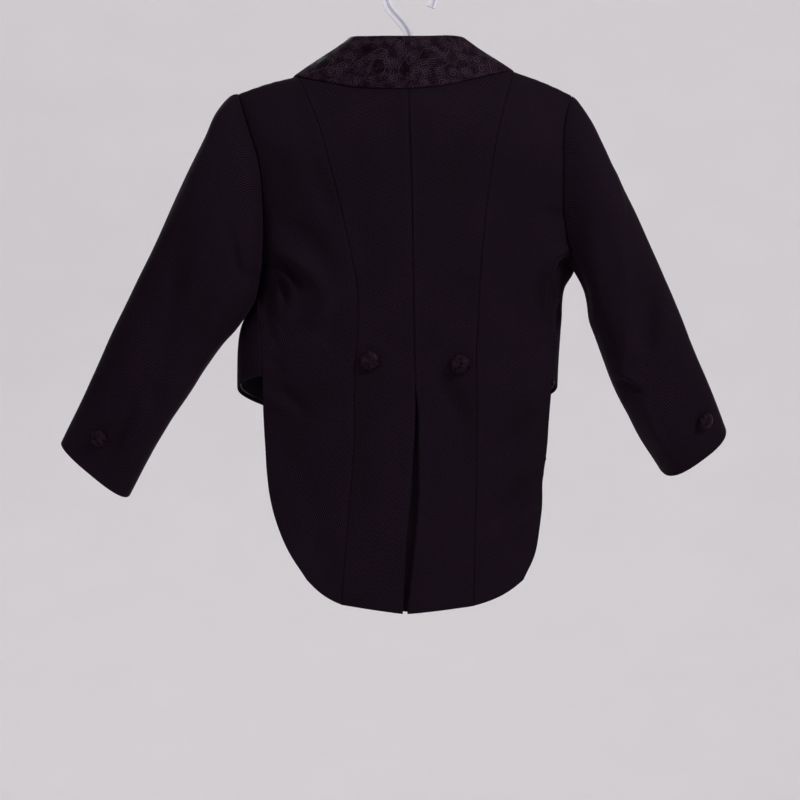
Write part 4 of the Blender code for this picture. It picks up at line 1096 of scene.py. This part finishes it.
def centreBack(side, word):
    places, _, _, seam, seamDrop, centreDrop = backRows(side)
    gap = side * cloth["seamGap"] / 2
    line = centreSeam + (ventLeft if side > 0 else ventRight)
    centreX = smooth(centreDrop, line, "drop", "x") + gap
    seamX = smooth(seamDrop, seam, "drop", "x") - gap
    neckX = body["neckLeft"] if side > 0 else body["neckRight"]

    def topLine(share):
        x = gap + (seam[0].x - 2 * gap) * share
        drop = np.where(np.abs(x) < abs(neckX), neckDrop(x, side), shoulderDrop(x))
        return angleOf(x, drop), drop

    edges = (angleOf(centreX, centreDrop), centreDrop, angleOf(seamX, seamDrop), seamDrop)
    angles, drops = layPanel(edges, places, topLine)
    suitingPanel(f"back_centre_{word}", angles, drops, side, edgesOf("seam", "seam", "seam", "free"), 1)


def lapelSeam(row):
    out, down = row.edgeX - row.rollX, row.edgeDrop - row.rollDrop
    share = min(collarCut["tuck"] / math.hypot(out, down), 0.5)
    return row.rollX + share * out, row.rollDrop + share * down


def frontOuter(side):  # the armhole and side seam of a front, as angles and drops
    if side > 0:
        tip, rest, seam = armholeBackLeft[0], armholeFrontLeft, [armholeBackLeft[-1]] + sideSeamLeft
    else:
        tip, rest, seam = armholeBackRight[0], armholeFrontRight, [armholeBackRight[-1]] + sideSeamRight
    gap = side * cloth["seamGap"] / 2
    tipAngle = 180 - abs(float(angleOf(tip.x, tip.drop)))
    seamAngles = [abs(float(angleOf(e.x + gap, e.drop))) for e in seam]
    angle = np.array([tipAngle] + [t.angle for t in rest] + seamAngles) * side
    drop = np.array([tip.drop] + [t.drop for t in rest] + [e.drop for e in seam])
    keys = arcLengths(basePoint(angle, drop)[None], 1)[0]
    return keys, np.stack([angle, drop], axis=1), len(rest) + 1


frontEdge = [Seam(350, 6.0), Seam(370, 5.0), Seam(388, 7.0)]  # below the lapel's break


def layFront(side):
    keys, rows, _ = frontOuter(side)
    places = rowPlaces(keys[-1], True, cloth["step"])
    outer = curveThrough(keys, rows, places)
    neckX = abs(body["neckLeft"] if side > 0 else body["neckRight"])
    top = float(shoulderDrop(side * neckX))
    innerDrop = top + places / places[-1] * (body["frontPointDrop"] - top)
    line = [Seam(top, neckX)] + [Seam(drop, x) for x, drop in map(lapelSeam, lapels)]
    line += frontEdge + [Seam(body["frontPointDrop"], body["frontPointX"])]
    innerX = side * (smooth(innerDrop, line, "drop", "x") + cloth["collarThickness"] / 2 + body["frontInset"])
    innerAngle = side * 180 - angleOf(innerX, innerDrop)
    tipX = (armholeBackLeft if side > 0 else armholeBackRight)[0].x

    def topLine(share):
        x = innerX[0] + (tipX - innerX[0]) * share
        drop = shoulderDrop(x)
        return side * 180 - angleOf(x, drop), drop

    edges = (innerAngle, innerDrop, outer[:, 0], outer[:, 1])
    return places, layPanel(edges, places, topLine, body["frontHemBow"], body["frontHemReach"])


def front(side, word):
    _, (angles, drops) = layFront(side)
    suitingPanel(f"front_{word}", angles, drops, -side, edgesOf("free", "seam", "seam", "free"), -1)


liningCut = {
    "height": 46.0,
    "inFromEdge": 0.1,  # shares of the front's width
    "inFromSeam": 0.05,
    "aboveHem": 3.0,
    "below": 2.7,  # the front's outer face
    "blouse": 0.5,  # it is cut a little long, so it bellies over its hem
    "blouseRadius": 6.5,  # of its waves: their length over two pi
}


def frontLining(side, word):
    places, (angles, drops) = layFront(side)
    share = (places - places[-1] + liningCut["height"]) / liningCut["height"]
    rows = share >= 0
    columns = angles.shape[1]
    kept = slice(int(columns * liningCut["inFromEdge"]), int(columns * (1 - liningCut["inFromSeam"])))
    angles, drops, share = angles[rows, kept], drops[rows, kept], share[rows]
    drops = drops - liningCut["aboveHem"] * share[:, None] ** 3
    base = basePoint(angles, drops)
    wave = np.sin(base[..., 0] / liningCut["blouseRadius"])
    blouse = liningCut["blouse"] * np.sin(np.clip(share, 0, 1) * math.pi)[:, None] * wave
    edges = edgesOf("none", "none", "none", "free")
    height = bodyHeight(base) + blouse
    outer, inner = clothWalls(base, height, -side, cloth["facingThickness"], edges, below=liningCut["below"])
    piece = makeShell(f"front_lining_{word}_satin", outer, inner, flatMap(outer), lining)
    declareCloth(piece, f"front_lining_{word}", outer, turnings=0.0)


ventStrip = {
    "right": -30.0,
    "left": 18.0,
    "aboveVent": 6.0,
    "aboveHem": 1.0,
    "below": 4.6,  # the backs' outer face
    "columns": 22,
    "rows": 76,
}


def ventFacing():
    x = np.linspace(ventStrip["right"], ventStrip["left"], ventStrip["columns"])[None, :]
    rise = (body["hemCentre"] - body["hemRight"]) * np.abs(x) / abs(princessRight[-1].x)
    hem = body["hemCentre"] - ventStrip["aboveHem"] - rise
    top = body["ventTop"] - ventStrip["aboveVent"]
    drops = top + np.linspace(0, 1, ventStrip["rows"])[:, None] * (hem - top)
    base = basePoint(angleOf(np.broadcast_to(x, drops.shape), drops), drops)
    edges = edgesOf("free", "free", "free", "free")
    outer, inner = clothWalls(
        base, bodyHeight(base), 1, cloth["facingThickness"], edges, below=ventStrip["below"]
    )
    piece = makeShell("vent_facing_cloth", outer, inner, flatMap(outer), suiting)
    declareCloth(piece, "vent_facing", outer, turnings=0.0)


Ring = namedtuple("Ring", "outerX outerDrop innerX innerDrop depth y lean")
sleeveLeft = [
    Ring(156.0, 107.4, 131.4, 269.5, 34, 11, 0),
    Ring(167.6, 122.4, 135.2, 283, 35, 15, 0),
    Ring(175.8, 141.4, 142.6, 296, 36, 16, 0),
    Ring(187.2, 165.4, 151.2, 307.5, 36, 14, 0),
    Ring(201.4, 194.0, 162.9, 320.4, 35, 10, 0),
    Ring(215.8, 223.8, 174.3, 336.4, 33, 6, 2),
    Ring(229.8, 253.8, 185.0, 352.6, 31, 5, 4),
    Ring(244.6, 284.4, 196.3, 369.1, 29, 3, 6),
    Ring(258.6, 314.0, 208.6, 386.8, 27.5, 0, 8),
    Ring(272.2, 343.8, 220.2, 405.5, 26, -4, 10),
    Ring(287.2, 374.0, 232.8, 428.9, 25, -9, 12),
    Ring(303.2, 404.6, 246.2, 451.6, 24, -14, 13),
]
sleeveRight = [
    Ring(-146.8, 112.0, -145.5, 262, 33, 2, 0),
    Ring(-157.5, 128.5, -150.6, 273, 34, 4, 0),
    Ring(-166.8, 148.0, -153.6, 285, 35, 5, 0),
    Ring(-177.2, 170.0, -156.2, 299, 35, 6, 0),
    Ring(-190.0, 196.0, -161.6, 313, 34, 6, 0),
    Ring(-203.1, 225.0, -167.1, 329, 33, 5, 4),
    Ring(-217.0, 256.0, -173.4, 346, 31, 3, 9),
    Ring(-229.8, 286.0, -180.8, 362, 29, -3, 15),
    Ring(-243.0, 316.0, -190.0, 379, 27.5, -11, 20),
    Ring(-255.7, 345.3, -199.4, 396.5, 26, -21, 24),
    Ring(-267.4, 369.8, -210.4, 413.5, 25, -32, 27),
    Ring(-276.6, 390.8, -223.6, 431.0, 24, -44, 29),
]
sleeveCut = {
    "ownShape": (0.72, 0.45, 0.22, 0.08),  # how much of the armhole's shape the first rings keep
    "squareness": 2.6,
    "headDepth": 33,
    "aroundBack": 44,
    "aroundFront": 62,
    "headRoll": 1.0,  # how far the cloth rises from the armhole seam
    "headRollReach": 3.0,
    "tuckUnder": 0.5,  # how far its edge runs on under the body's, so that no light passes
    "foldsFrom": 6.0,  # distance from the armhole at which the folds are whole
    "driftFrom": 40.0,  # and the unevenness
    "drift": 2.6,  # sets the unevenness apart from the body's
}


def armholeLoop(side):
    # points of the armhole down the back and up the front, each with its turn round the sleeve
    keys, points, last = outerEdge(side)
    at = np.linspace(0, keys[last], sleeveCut["aroundBack"] + 1)
    edge = curveThrough(keys, points, at)
    turn = np.interp(at, keys[: last + 1], np.linspace(0, math.pi, last + 1))
    drop = edge[:, 1]
    back, _ = bodyPatch(angleOf(edge[:, 0] - side * cloth["seamGap"] / 2, drop), drop, 0)
    keys, rows, last = frontOuter(side)
    at = np.linspace(0, keys[last], sleeveCut["aroundFront"] + 1)[1:-1]
    rest = curveThrough(keys, rows, at)
    before, _ = bodyPatch(rest[:, 0], rest[:, 1], 0)
    beforeTurn = 2 * math.pi - np.interp(at, keys[: last + 1], np.linspace(0, math.pi, last + 1))
    return np.concatenate([back, before[::-1]]), np.concatenate([turn, beforeTurn[::-1]])


def ringPoints(ring, turns, axis):
    outer = np.array([ring.outerX, 0, -ring.outerDrop])
    inner = np.array([ring.innerX, 0, -ring.innerDrop])
    middle = (outer + inner) / 2 + np.array([0, ring.y, 0])
    lean = math.radians(ring.lean)
    deep = ring.depth * (np.array([0, math.cos(lean), 0]) + math.sin(lean) * axis)
    power = 2 / sleeveCut["squareness"]
    c = np.sign(np.cos(turns)) * np.abs(np.cos(turns)) ** power
    s = np.sign(np.sin(turns)) * np.abs(np.sin(turns)) ** power
    return middle + c[:, None] * (outer - inner) / 2 + s[:, None] * deep


def sleeve(side, word):
    loop, turns = armholeLoop(side)
    table = sleeveLeft if side > 0 else sleeveRight
    middles = [((r.outerX + r.innerX) / 2, -(r.outerDrop + r.innerDrop) / 2) for r in table]
    rings = []
    for i, ring in enumerate(table):
        before, after = middles[max(i - 1, 0)], middles[min(i + 1, len(table) - 1)]
        axis = np.array([after[0] - before[0], 0, after[1] - before[1]])
        rings.append(ringPoints(ring, turns, axis / np.linalg.norm(axis)))
    top, low = loop[0], loop[sleeveCut["aroundBack"]]
    plain = Ring(top[0], -top[2], low[0], -low[2], sleeveCut["headDepth"], 0, 0)
    ownShape = loop - ringPoints(plain, turns, np.array([0.0, 0.0, -1.0]))
    for i, share in enumerate(sleeveCut["ownShape"]):
        rings[i] = rings[i] + share * ownShape
    coarse = np.stack([loop] + rings)
    keys = arcLengths(coarse, 0).mean(axis=1)
    places = rowPlaces(keys[-1], False, cloth["step"])
    grid = curveThrough(keys, coarse, places)
    outwards = grid[1] - grid[0]
    grid[0] -= sleeveCut["tuckUnder"] * outwards / np.linalg.norm(outwards, axis=-1)[:, None]
    rise = sleeveCut["headRoll"] * (1 - np.exp(-places / sleeveCut["headRollReach"]))
    grid = grid + rise[:, None, None] * gridNormals(grid, -side, True)
    x, drop = grid[..., 0], -grid[..., 2]
    behind = np.clip(np.sin(turns) * 5, 0, 1)  # the folds fade out close to the inner and the outer line
    before = np.clip(-np.sin(turns) * 5, 0, 1)
    height = behind * foldHeight(sleeveFolds, x, drop) + before * foldHeight(frontSleeveFolds, x, drop)
    settled = np.clip(places / sleeveCut["driftFrom"], 0, 1)[:, None]
    uneven = drift(x + 1.3 * grid[..., 1], drop, sleeveCut["drift"])  # slanted, so that the two walls differ
    height = height * np.clip(places / sleeveCut["foldsFrom"], 0, 1)[:, None] + settled * uneven
    edges = edgesOf("none", "none", "seam", "free")
    outer, inner = clothWalls(grid, height, -side, cloth["thickness"], edges, closed=True)
    piece = makeShell(f"sleeve_{word}_cloth", outer, inner, flatMap(outer), suiting, closed=True)
    declareCloth(piece, f"sleeve_{word}", outer, closed=True)
    return outer


Station = namedtuple("Station", "seamX roll edgeX edgeDrop")
collarLeft = [
    Station(0, (0, 25.5, 59.2), 0, 101.8),
    Station(19, (19, 24.5, 59.0), 26, 101.3),
    Station(36, (36.5, 20.5, 58.8), 51, 99.1),
    Station(48, (47.4, 12.5, 58.0), 73, 94.3),
    Station(55, (51.4, 3.5, 58.4), 90, 90.5),
    Station(58, (51.8, -6.0, 61.0), 99.6, 88.6),
]
collarRight = [
    Station(0, (0, 25.5, 59.2), 0, 101.8),
    Station(18, (17, 24.5, 59.0), 23, 99.7),
    Station(34, (33.6, 20.5, 58.2), 45, 94.9),
    Station(46, (43.0, 12.5, 58.2), 64, 89.6),
    Station(53, (46.4, 3.5, 58.8), 79, 85.8),
    Station(56, (47.0, -6.0, 61.8), 88.4, 83.7),
]
Lapel = namedtuple("Lapel", "rollX rollDrop lift radius edgeX edgeDrop rightX rightDrop")
lapels = [
    Lapel(50.6, 77, 12.8, 3.2, 101.5, 93, 90.3, 88.5),
    Lapel(49.4, 86, 9.2, 3.1, 103.5, 101, 92.6, 97),
    Lapel(48.4, 98, 6.4, 3.0, 104.0, 117, 95.0, 113),
    Lapel(46.0, 115, 4.2, 2.8, 101.0, 142, 95.5, 139),
    Lapel(42.0, 140, 2.2, 2.6, 94.0, 172, 91.5, 170),
    Lapel(36.4, 172, 1.6, 2.4, 83.0, 205, 82.0, 204),
    Lapel(29.5, 210, 1.4, 2.3, 68.0, 241, 68.0, 241),
    Lapel(22.0, 250, 1.3, 2.2, 51.0, 275, 51.0, 275),
    Lapel(14.5, 290, 1.2, 2.1, 33.0, 307, 33.0, 307),
    Lapel(9.0, 322, 1.1, 2.0, 20.0, 331, 20.0, 331),
    Lapel(6.5, 340, 1.1, 2.0, 12.5, 344, 12.5, 344),
]
collarFolds = [
    Fold((24, 62), (23, 78), (25, 98), 4.0, -1.1),
    Fold((-10, 66), (-16, 76), (-28, 82), 3.5, -0.7),
    Fold((-8, 88), (-20, 90), (-34, 92), 3.5, 0.6),
    Fold((44, 66), (50, 80), (62, 92), 6.0, 0.6),
    Fold((-52, 66), (-56, 76), (-60, 88), 4.0, -0.6),
]
collarCut = {
    "tuck": 8.0,  # how far the front's edge lies under the lapel
    "seamSink": 1.0,  # how far the stand's seam lies in the coat
    "standRise": 1.4,
    "foldRadius": 3.2,
    "edgeLift": 1.0,
    "fallBow": 1.6,
    "fallShares": (0.25, 0.5, 0.75, 1),  # places down the fall, as shares of its width
    "alongStep": 1.5,
    "acrossSteps": (3, 3, 4, 4, 4, 4, 5, 7, 7, 7),  # few down the stand, more round the fold and the fall
    "edgeSteps": (9.98, 9.994, 10.0),  # and the last, where the free edge turns
    "foldsReach": (60.0, 20.0),  # the dents fade out this far from the edge, over this width
    "layLeft": (13.0, 4.0), "layRight": (151.0, 93.0),  # where each half lies on the figured cloth
}


def unit(vector):
    return vector / np.linalg.norm(vector)


def foldLine(seam, roll, fall, radius, out):
    top = -unit(unit(seam - roll) + unit(fall[-1] - roll))
    out = unit(out - (out @ top) * top)
    turns = np.radians([180, 135, 90, 45, 0])
    fold = [roll + radius * (math.cos(t) * out + math.sin(t) * top) for t in turns]
    return np.array([seam, (seam + fold[0]) / 2, *fold, *fall])


def backPlace(x, drop, lift):
    return bodyPatch(angleOf(x, drop), drop, lift)[0][0]


def frontPlace(x, drop, lift, side):
    return bodyPatch(side * 180 - angleOf(side * x, drop), drop, lift)[0][0]


def collar(side, word):
    lines = []
    lift, sink = collarCut["edgeLift"], -collarCut["seamSink"]
    for row in collarLeft if side > 0 else collarRight:
        roll = np.array([side * row.roll[0], row.roll[1], -row.roll[2]], float)
        seam = backPlace(side * row.seamX, neckDrop(row.seamX, side) - 0.4, sink)
        seam[2] += collarCut["standRise"]
        ridge = float(shoulderDrop(side * row.edgeX))
        edge = backPlace(side * row.edgeX, max(row.edgeDrop, ridge), lift)
        if row.seamX == 0:
            seam[0] = roll[0] = edge[0] = side * cloth["seamGap"] / 2
        out = unit(edge - roll) - unit(seam - roll)
        start = roll + collarCut["foldRadius"] * unit(out)
        bow = collarCut["fallBow"] * unit(out)
        fall = [start + t * (edge - start) + bow * math.sin(math.pi * t) for t in collarCut["fallShares"]]
        lines.append(foldLine(seam, roll, fall, collarCut["foldRadius"], out))
    for row in lapels:
        edgeX, edgeDrop = (row.edgeX, row.edgeDrop) if side > 0 else (row.rightX, row.rightDrop)
        seamX, seamDrop = lapelSeam(row)
        seam = frontPlace(seamX, seamDrop, sink, side)
        roll = frontPlace(row.rollX, row.rollDrop, row.lift, side)
        out = frontPlace(row.rollX, row.rollDrop, row.lift + 1, side) - roll
        fall = []
        for t in collarCut["fallShares"]:
            x = row.rollX + t * (edgeX - row.rollX)
            drop = row.rollDrop + t * (edgeDrop - row.rollDrop)
            high = lift + (row.lift + row.radius - lift) * (1 - t) ** 2
            fall.append(frontPlace(x, drop, high, side))
        lines.append(foldLine(seam, roll, fall, row.radius, out))
    coarse = np.array(lines)
    keys = arcLengths(coarse, 0).mean(axis=1)
    places = rowPlaces(keys[-1], False, collarCut["alongStep"])
    grid = curveThrough(keys, coarse, places)
    steps = [i + np.arange(count) / count for i, count in enumerate(collarCut["acrossSteps"])]
    at = np.concatenate(steps + [collarCut["edgeSteps"]])
    width = np.concatenate([[0.0], np.cumsum(np.linalg.norm(np.diff(coarse, axis=1), axis=-1).mean(axis=0))])
    grid = curveThrough(width, np.swapaxes(grid, 0, 1), np.interp(at, np.arange(11), width))
    grid = np.swapaxes(grid, 0, 1)
    across = arcLengths(grid, 1)
    fromEdge = across[:, -1:] - across
    reach, blend = collarCut["foldsReach"]
    onFall = np.clip((reach - fromEdge) / blend, 0, 1) * (grid[..., 1] > 0)
    height = onFall * foldHeight(collarFolds, grid[..., 0], -grid[..., 2]) + cloth["collarThickness"] / 2
    edges = edgesOf("none", "free", "collarSeam", "free")
    outer, inner = clothWalls(grid, height, side, cloth["collarThickness"], edges)
    flat = flatMap(outer)[..., ::-1] + np.array(collarCut["layLeft" if side > 0 else "layRight"])
    piece = makeShell(f"shawl_collar_{word}_jacquard", outer, inner, flat, jacquard)
    declareCloth(piece, f"shawl_collar_{word}", outer)


Turned = namedtuple("Turned", "radius height")
buttonCut = {
    "waist": 17.0,
    "cuff": 14.0,
    "steps": 64,
    "domeRows": 26,
    "pleats": 17,
    "pleatDepth": 0.28,
    "pleatReach": 0.2,
    "tilt": 0.12,
    "shankFoot": 0.2,
    # the dome's radii are shares of the button's own
    "dome": [
        Turned(0.0, 7.1), Turned(0.2, 7.08), Turned(0.55, 6.6), Turned(0.82, 5.5), Turned(0.97, 4.0),
        Turned(1.0, 2.9), Turned(0.9, 2.0), Turned(0.86, 1.8),
    ],
    "shank": [Turned(2.2, 1.7), Turned(2.0, 1.5), Turned(2.0, 0.9), Turned(2.0, 0.2)],
}


def coveredButton(node, place, normal, diameter):
    # a dome of cloth drawn over a shell, gathered in small pleats round its rim, on a short cloth shank
    r = diameter / 2
    keys = np.array([(row.radius * r, row.height) for row in buttonCut["dome"]])
    runs = arcLengths(keys[None], 1)[0]
    dome = curveThrough(runs, keys, np.linspace(0, runs[-1], buttonCut["domeRows"]))
    profile = np.concatenate([dome[1:], [(r * 0.5, 1.75)], buttonCut["shank"]])
    normal = unit(normal)
    across = unit(np.cross(normal, [0, 0, 1.0]))
    third = np.cross(normal, across)
    turns = np.linspace(0, 2 * math.pi, buttonCut["steps"], endpoint=False)
    phase = sum(ord(letter) for letter in node) * 0.37  # sets each button's pleats apart
    rim = np.exp(-(((profile[:, 0] / r - 1.0) / buttonCut["pleatReach"]) ** 2)) * (profile[:, 1] > 1.76)
    pleat = buttonCut["pleatDepth"] * np.cos(buttonCut["pleats"] * turns + 0.8 * np.sin(3 * turns + phase))
    radius = profile[:, :1] + rim[:, None] * pleat[None, :]
    tilt = buttonCut["tilt"] * np.sin(2 * turns + phase)[None, :] * (profile[:, :1] / r)
    height = profile[:, 1:] + tilt
    grid = (
        place
        + height[..., None] * normal
        + (radius * np.cos(turns))[..., None] * across
        + (radius * np.sin(turns))[..., None] * third
    )
    rows, columns = grid.shape[:2]
    poles = [place + dome[0, 1] * normal, place + buttonCut["shankFoot"] * normal]
    points = np.concatenate([grid.reshape(-1, 3), poles])
    top, bottom, last = rows * columns, rows * columns + 1, (rows - 1) * columns
    faces = []
    for j in range(columns):
        k = (j + 1) % columns
        faces += [(i + j, i + k, i + columns + k, i + columns + j) for i in range(0, last, columns)]
        faces += [(top, k, j), (bottom, last + j, last + k)]
    mesh = bpy.data.meshes.new(f"{node}_covered")
    mesh.from_pydata([[v * mm for v in point] for point in points.tolist()], [], faces)
    faceOutwards(mesh)
    mesh.shade_smooth()
    mesh.materials.append(buttonSatin)
    piece = placeObject(f"{node}_covered", mesh)
    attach(piece, "root")
    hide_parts(node)


stitchCut = {"radius": 0.22, "shortest": 0.82, "longest": 1.12}


def stitchTree():
    tree = bpy.data.node_groups.new("stitchRun", "GeometryNodeTree")
    sockets = tree.interface
    sockets.new_socket("Geometry", in_out="INPUT", socket_type="NodeSocketGeometry")
    for name, kind in (
        ("Pitch", "NodeSocketFloat"), ("Length", "NodeSocketFloat"), ("Radius", "NodeSocketFloat"),
        ("Seed", "NodeSocketInt"), ("Thread", "NodeSocketMaterial"),
    ):
        sockets.new_socket(name, in_out="INPUT", socket_type=kind)
    sockets.new_socket("Geometry", in_out="OUTPUT", socket_type="NodeSocketGeometry")
    start = addNode(tree, "NodeGroupInput")
    path = addNode(tree, "GeometryNodeMeshToCurve", inputs={"Mesh": start.outputs["Geometry"]})
    even = addNode(
        tree, "GeometryNodeResampleCurve", {"mode": "LENGTH"},
        {"Curve": path.outputs[0], "Length": start.outputs["Pitch"]},
    )
    tangent = addNode(tree, "GeometryNodeInputTangent")
    aligned = addNode(
        tree, "FunctionNodeAlignRotationToVector", {"axis": "X"}, {"Vector": tangent.outputs[0]}
    )
    loose = addNode(
        tree, "FunctionNodeRandomValue", {"data_type": "FLOAT"},
        {2: stitchCut["shortest"], 3: stitchCut["longest"], "Seed": start.outputs["Seed"]},
    )
    size = addNode(
        tree, "ShaderNodeCombineXYZ",
        inputs={0: start.outputs["Length"], 1: start.outputs["Radius"], 2: start.outputs["Radius"]},
    )
    uneven = addNode(
        tree, "ShaderNodeVectorMath", {"operation": "SCALE"}, {0: size.outputs[0], "Scale": loose.outputs[1]}
    )
    stitch = addNode(tree, "GeometryNodeMeshUVSphere", inputs={"Segments": 6, "Rings": 5, "Radius": 1.0})
    spread = addNode(
        tree, "GeometryNodeInstanceOnPoints",
        inputs={
            "Points": even.outputs[0], "Instance": stitch.outputs["Mesh"], "Rotation": aligned.outputs[0],
            "Scale": uneven.outputs[0],
        },
    )
    real = addNode(tree, "GeometryNodeRealizeInstances", inputs={0: spread.outputs[0]})
    dressed = addNode(
        tree, "GeometryNodeSetMaterial",
        inputs={"Geometry": real.outputs[0], "Material": start.outputs["Thread"]},
    )
    addNode(tree, "NodeGroupOutput", inputs={"Geometry": dressed.outputs[0]})
    return tree


stitchNodes = stitchTree()


def stitchRun(name, paths, seed, pitch, length):
    points, edges = [], []
    for path in paths:
        start = len(points)
        points += [tuple(p * mm) for p in path]
        edges += [(start + i, start + i + 1) for i in range(len(path) - 1)]
    mesh = bpy.data.meshes.new(name + "_path")
    mesh.from_pydata(points, edges, [])
    guide = placeObject(name + "_path", mesh)
    modifier = guide.modifiers.new("stitches", "NODES")
    modifier.node_group = stitchNodes
    values = {
        "Pitch": pitch * mm, "Length": length * mm / 2, "Radius": stitchCut["radius"] * mm, "Seed": seed,
        "Thread": thread,
    }
    for item in stitchNodes.interface.items_tree:
        if item.in_out == "INPUT" and item.name in values:
            modifier[item.identifier] = values[item.name]
    graph = bpy.context.evaluated_depsgraph_get()
    made = bpy.data.meshes.new_from_object(guide.evaluated_get(graph))
    made.shade_smooth()
    bpy.data.objects.remove(guide, do_unlink=True)
    piece = placeObject(name, made)
    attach(piece, "root")


tackCut = {
    "rows": 7, "apart": 0.8, "above": 2.4,  # the vent's head
    "across": (-2.2, -0.8, 0.8, 2.2), "lift": 0.15, "pitch": 2.2, "length": 3.0, "seed": 4,
}


def barTack():  # close satin stitches that hold the head of the vent
    paths = []
    for i in range(tackCut["rows"]):
        drop = body["ventTop"] - tackCut["above"] + i * tackCut["apart"]
        x = float(smooth(drop, centreSeam, "drop", "x"))
        paths.append(np.array([backPlace(x + aside, drop, tackCut["lift"]) for aside in tackCut["across"]]))
    stitchRun("vent_bar_tack", paths, tackCut["seed"], tackCut["pitch"], tackCut["length"])


def dressHanger():
    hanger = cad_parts["hanger"]
    hanger.data.materials.clear()
    hanger.data.materials.append(polystyrene)


def nearestPlace(outer, x, drop):  # on the back of a sleeve
    normal = gridNormals(outer, -1 if x > 0 else 1, True)
    away = np.hypot(outer[..., 0] - x, -outer[..., 2] - drop) + 1000.0 * (normal[..., 1] < 0)
    row, col = np.unravel_index(np.argmin(away), away.shape)
    return outer[row, col], normal[row, col]


for side, word in ((1, "left"), (-1, "right")):
    centreBack(side, word)
    sideBack(side, word)
    front(side, word)
    frontLining(side, word)
    collar(side, word)
print("body panels and collar made")

ventFacing()
sleeves = {word: sleeve(side, word) for side, word in ((1, "left"), (-1, "right"))}
print("sleeves made")


def middleOf(node):
    low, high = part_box(node)
    return (np.array(low) + np.array(high)) / 2 / mm


for word in ("left", "right"):
    x, _, z = middleOf(f"waist_button_{word}")
    points, normals = bodyPatch(angleOf(x, -z), -z, 0)
    coveredButton(f"waist_button_{word}", points[0], normals[0], buttonCut["waist"])
    x, _, z = middleOf(f"cuff_button_{word}")
    place, normal = nearestPlace(sleeves[word], x, -z)
    coveredButton(f"cuff_button_{word}", place, normal, buttonCut["cuff"])
print("buttons made")

barTack()
dressHanger()
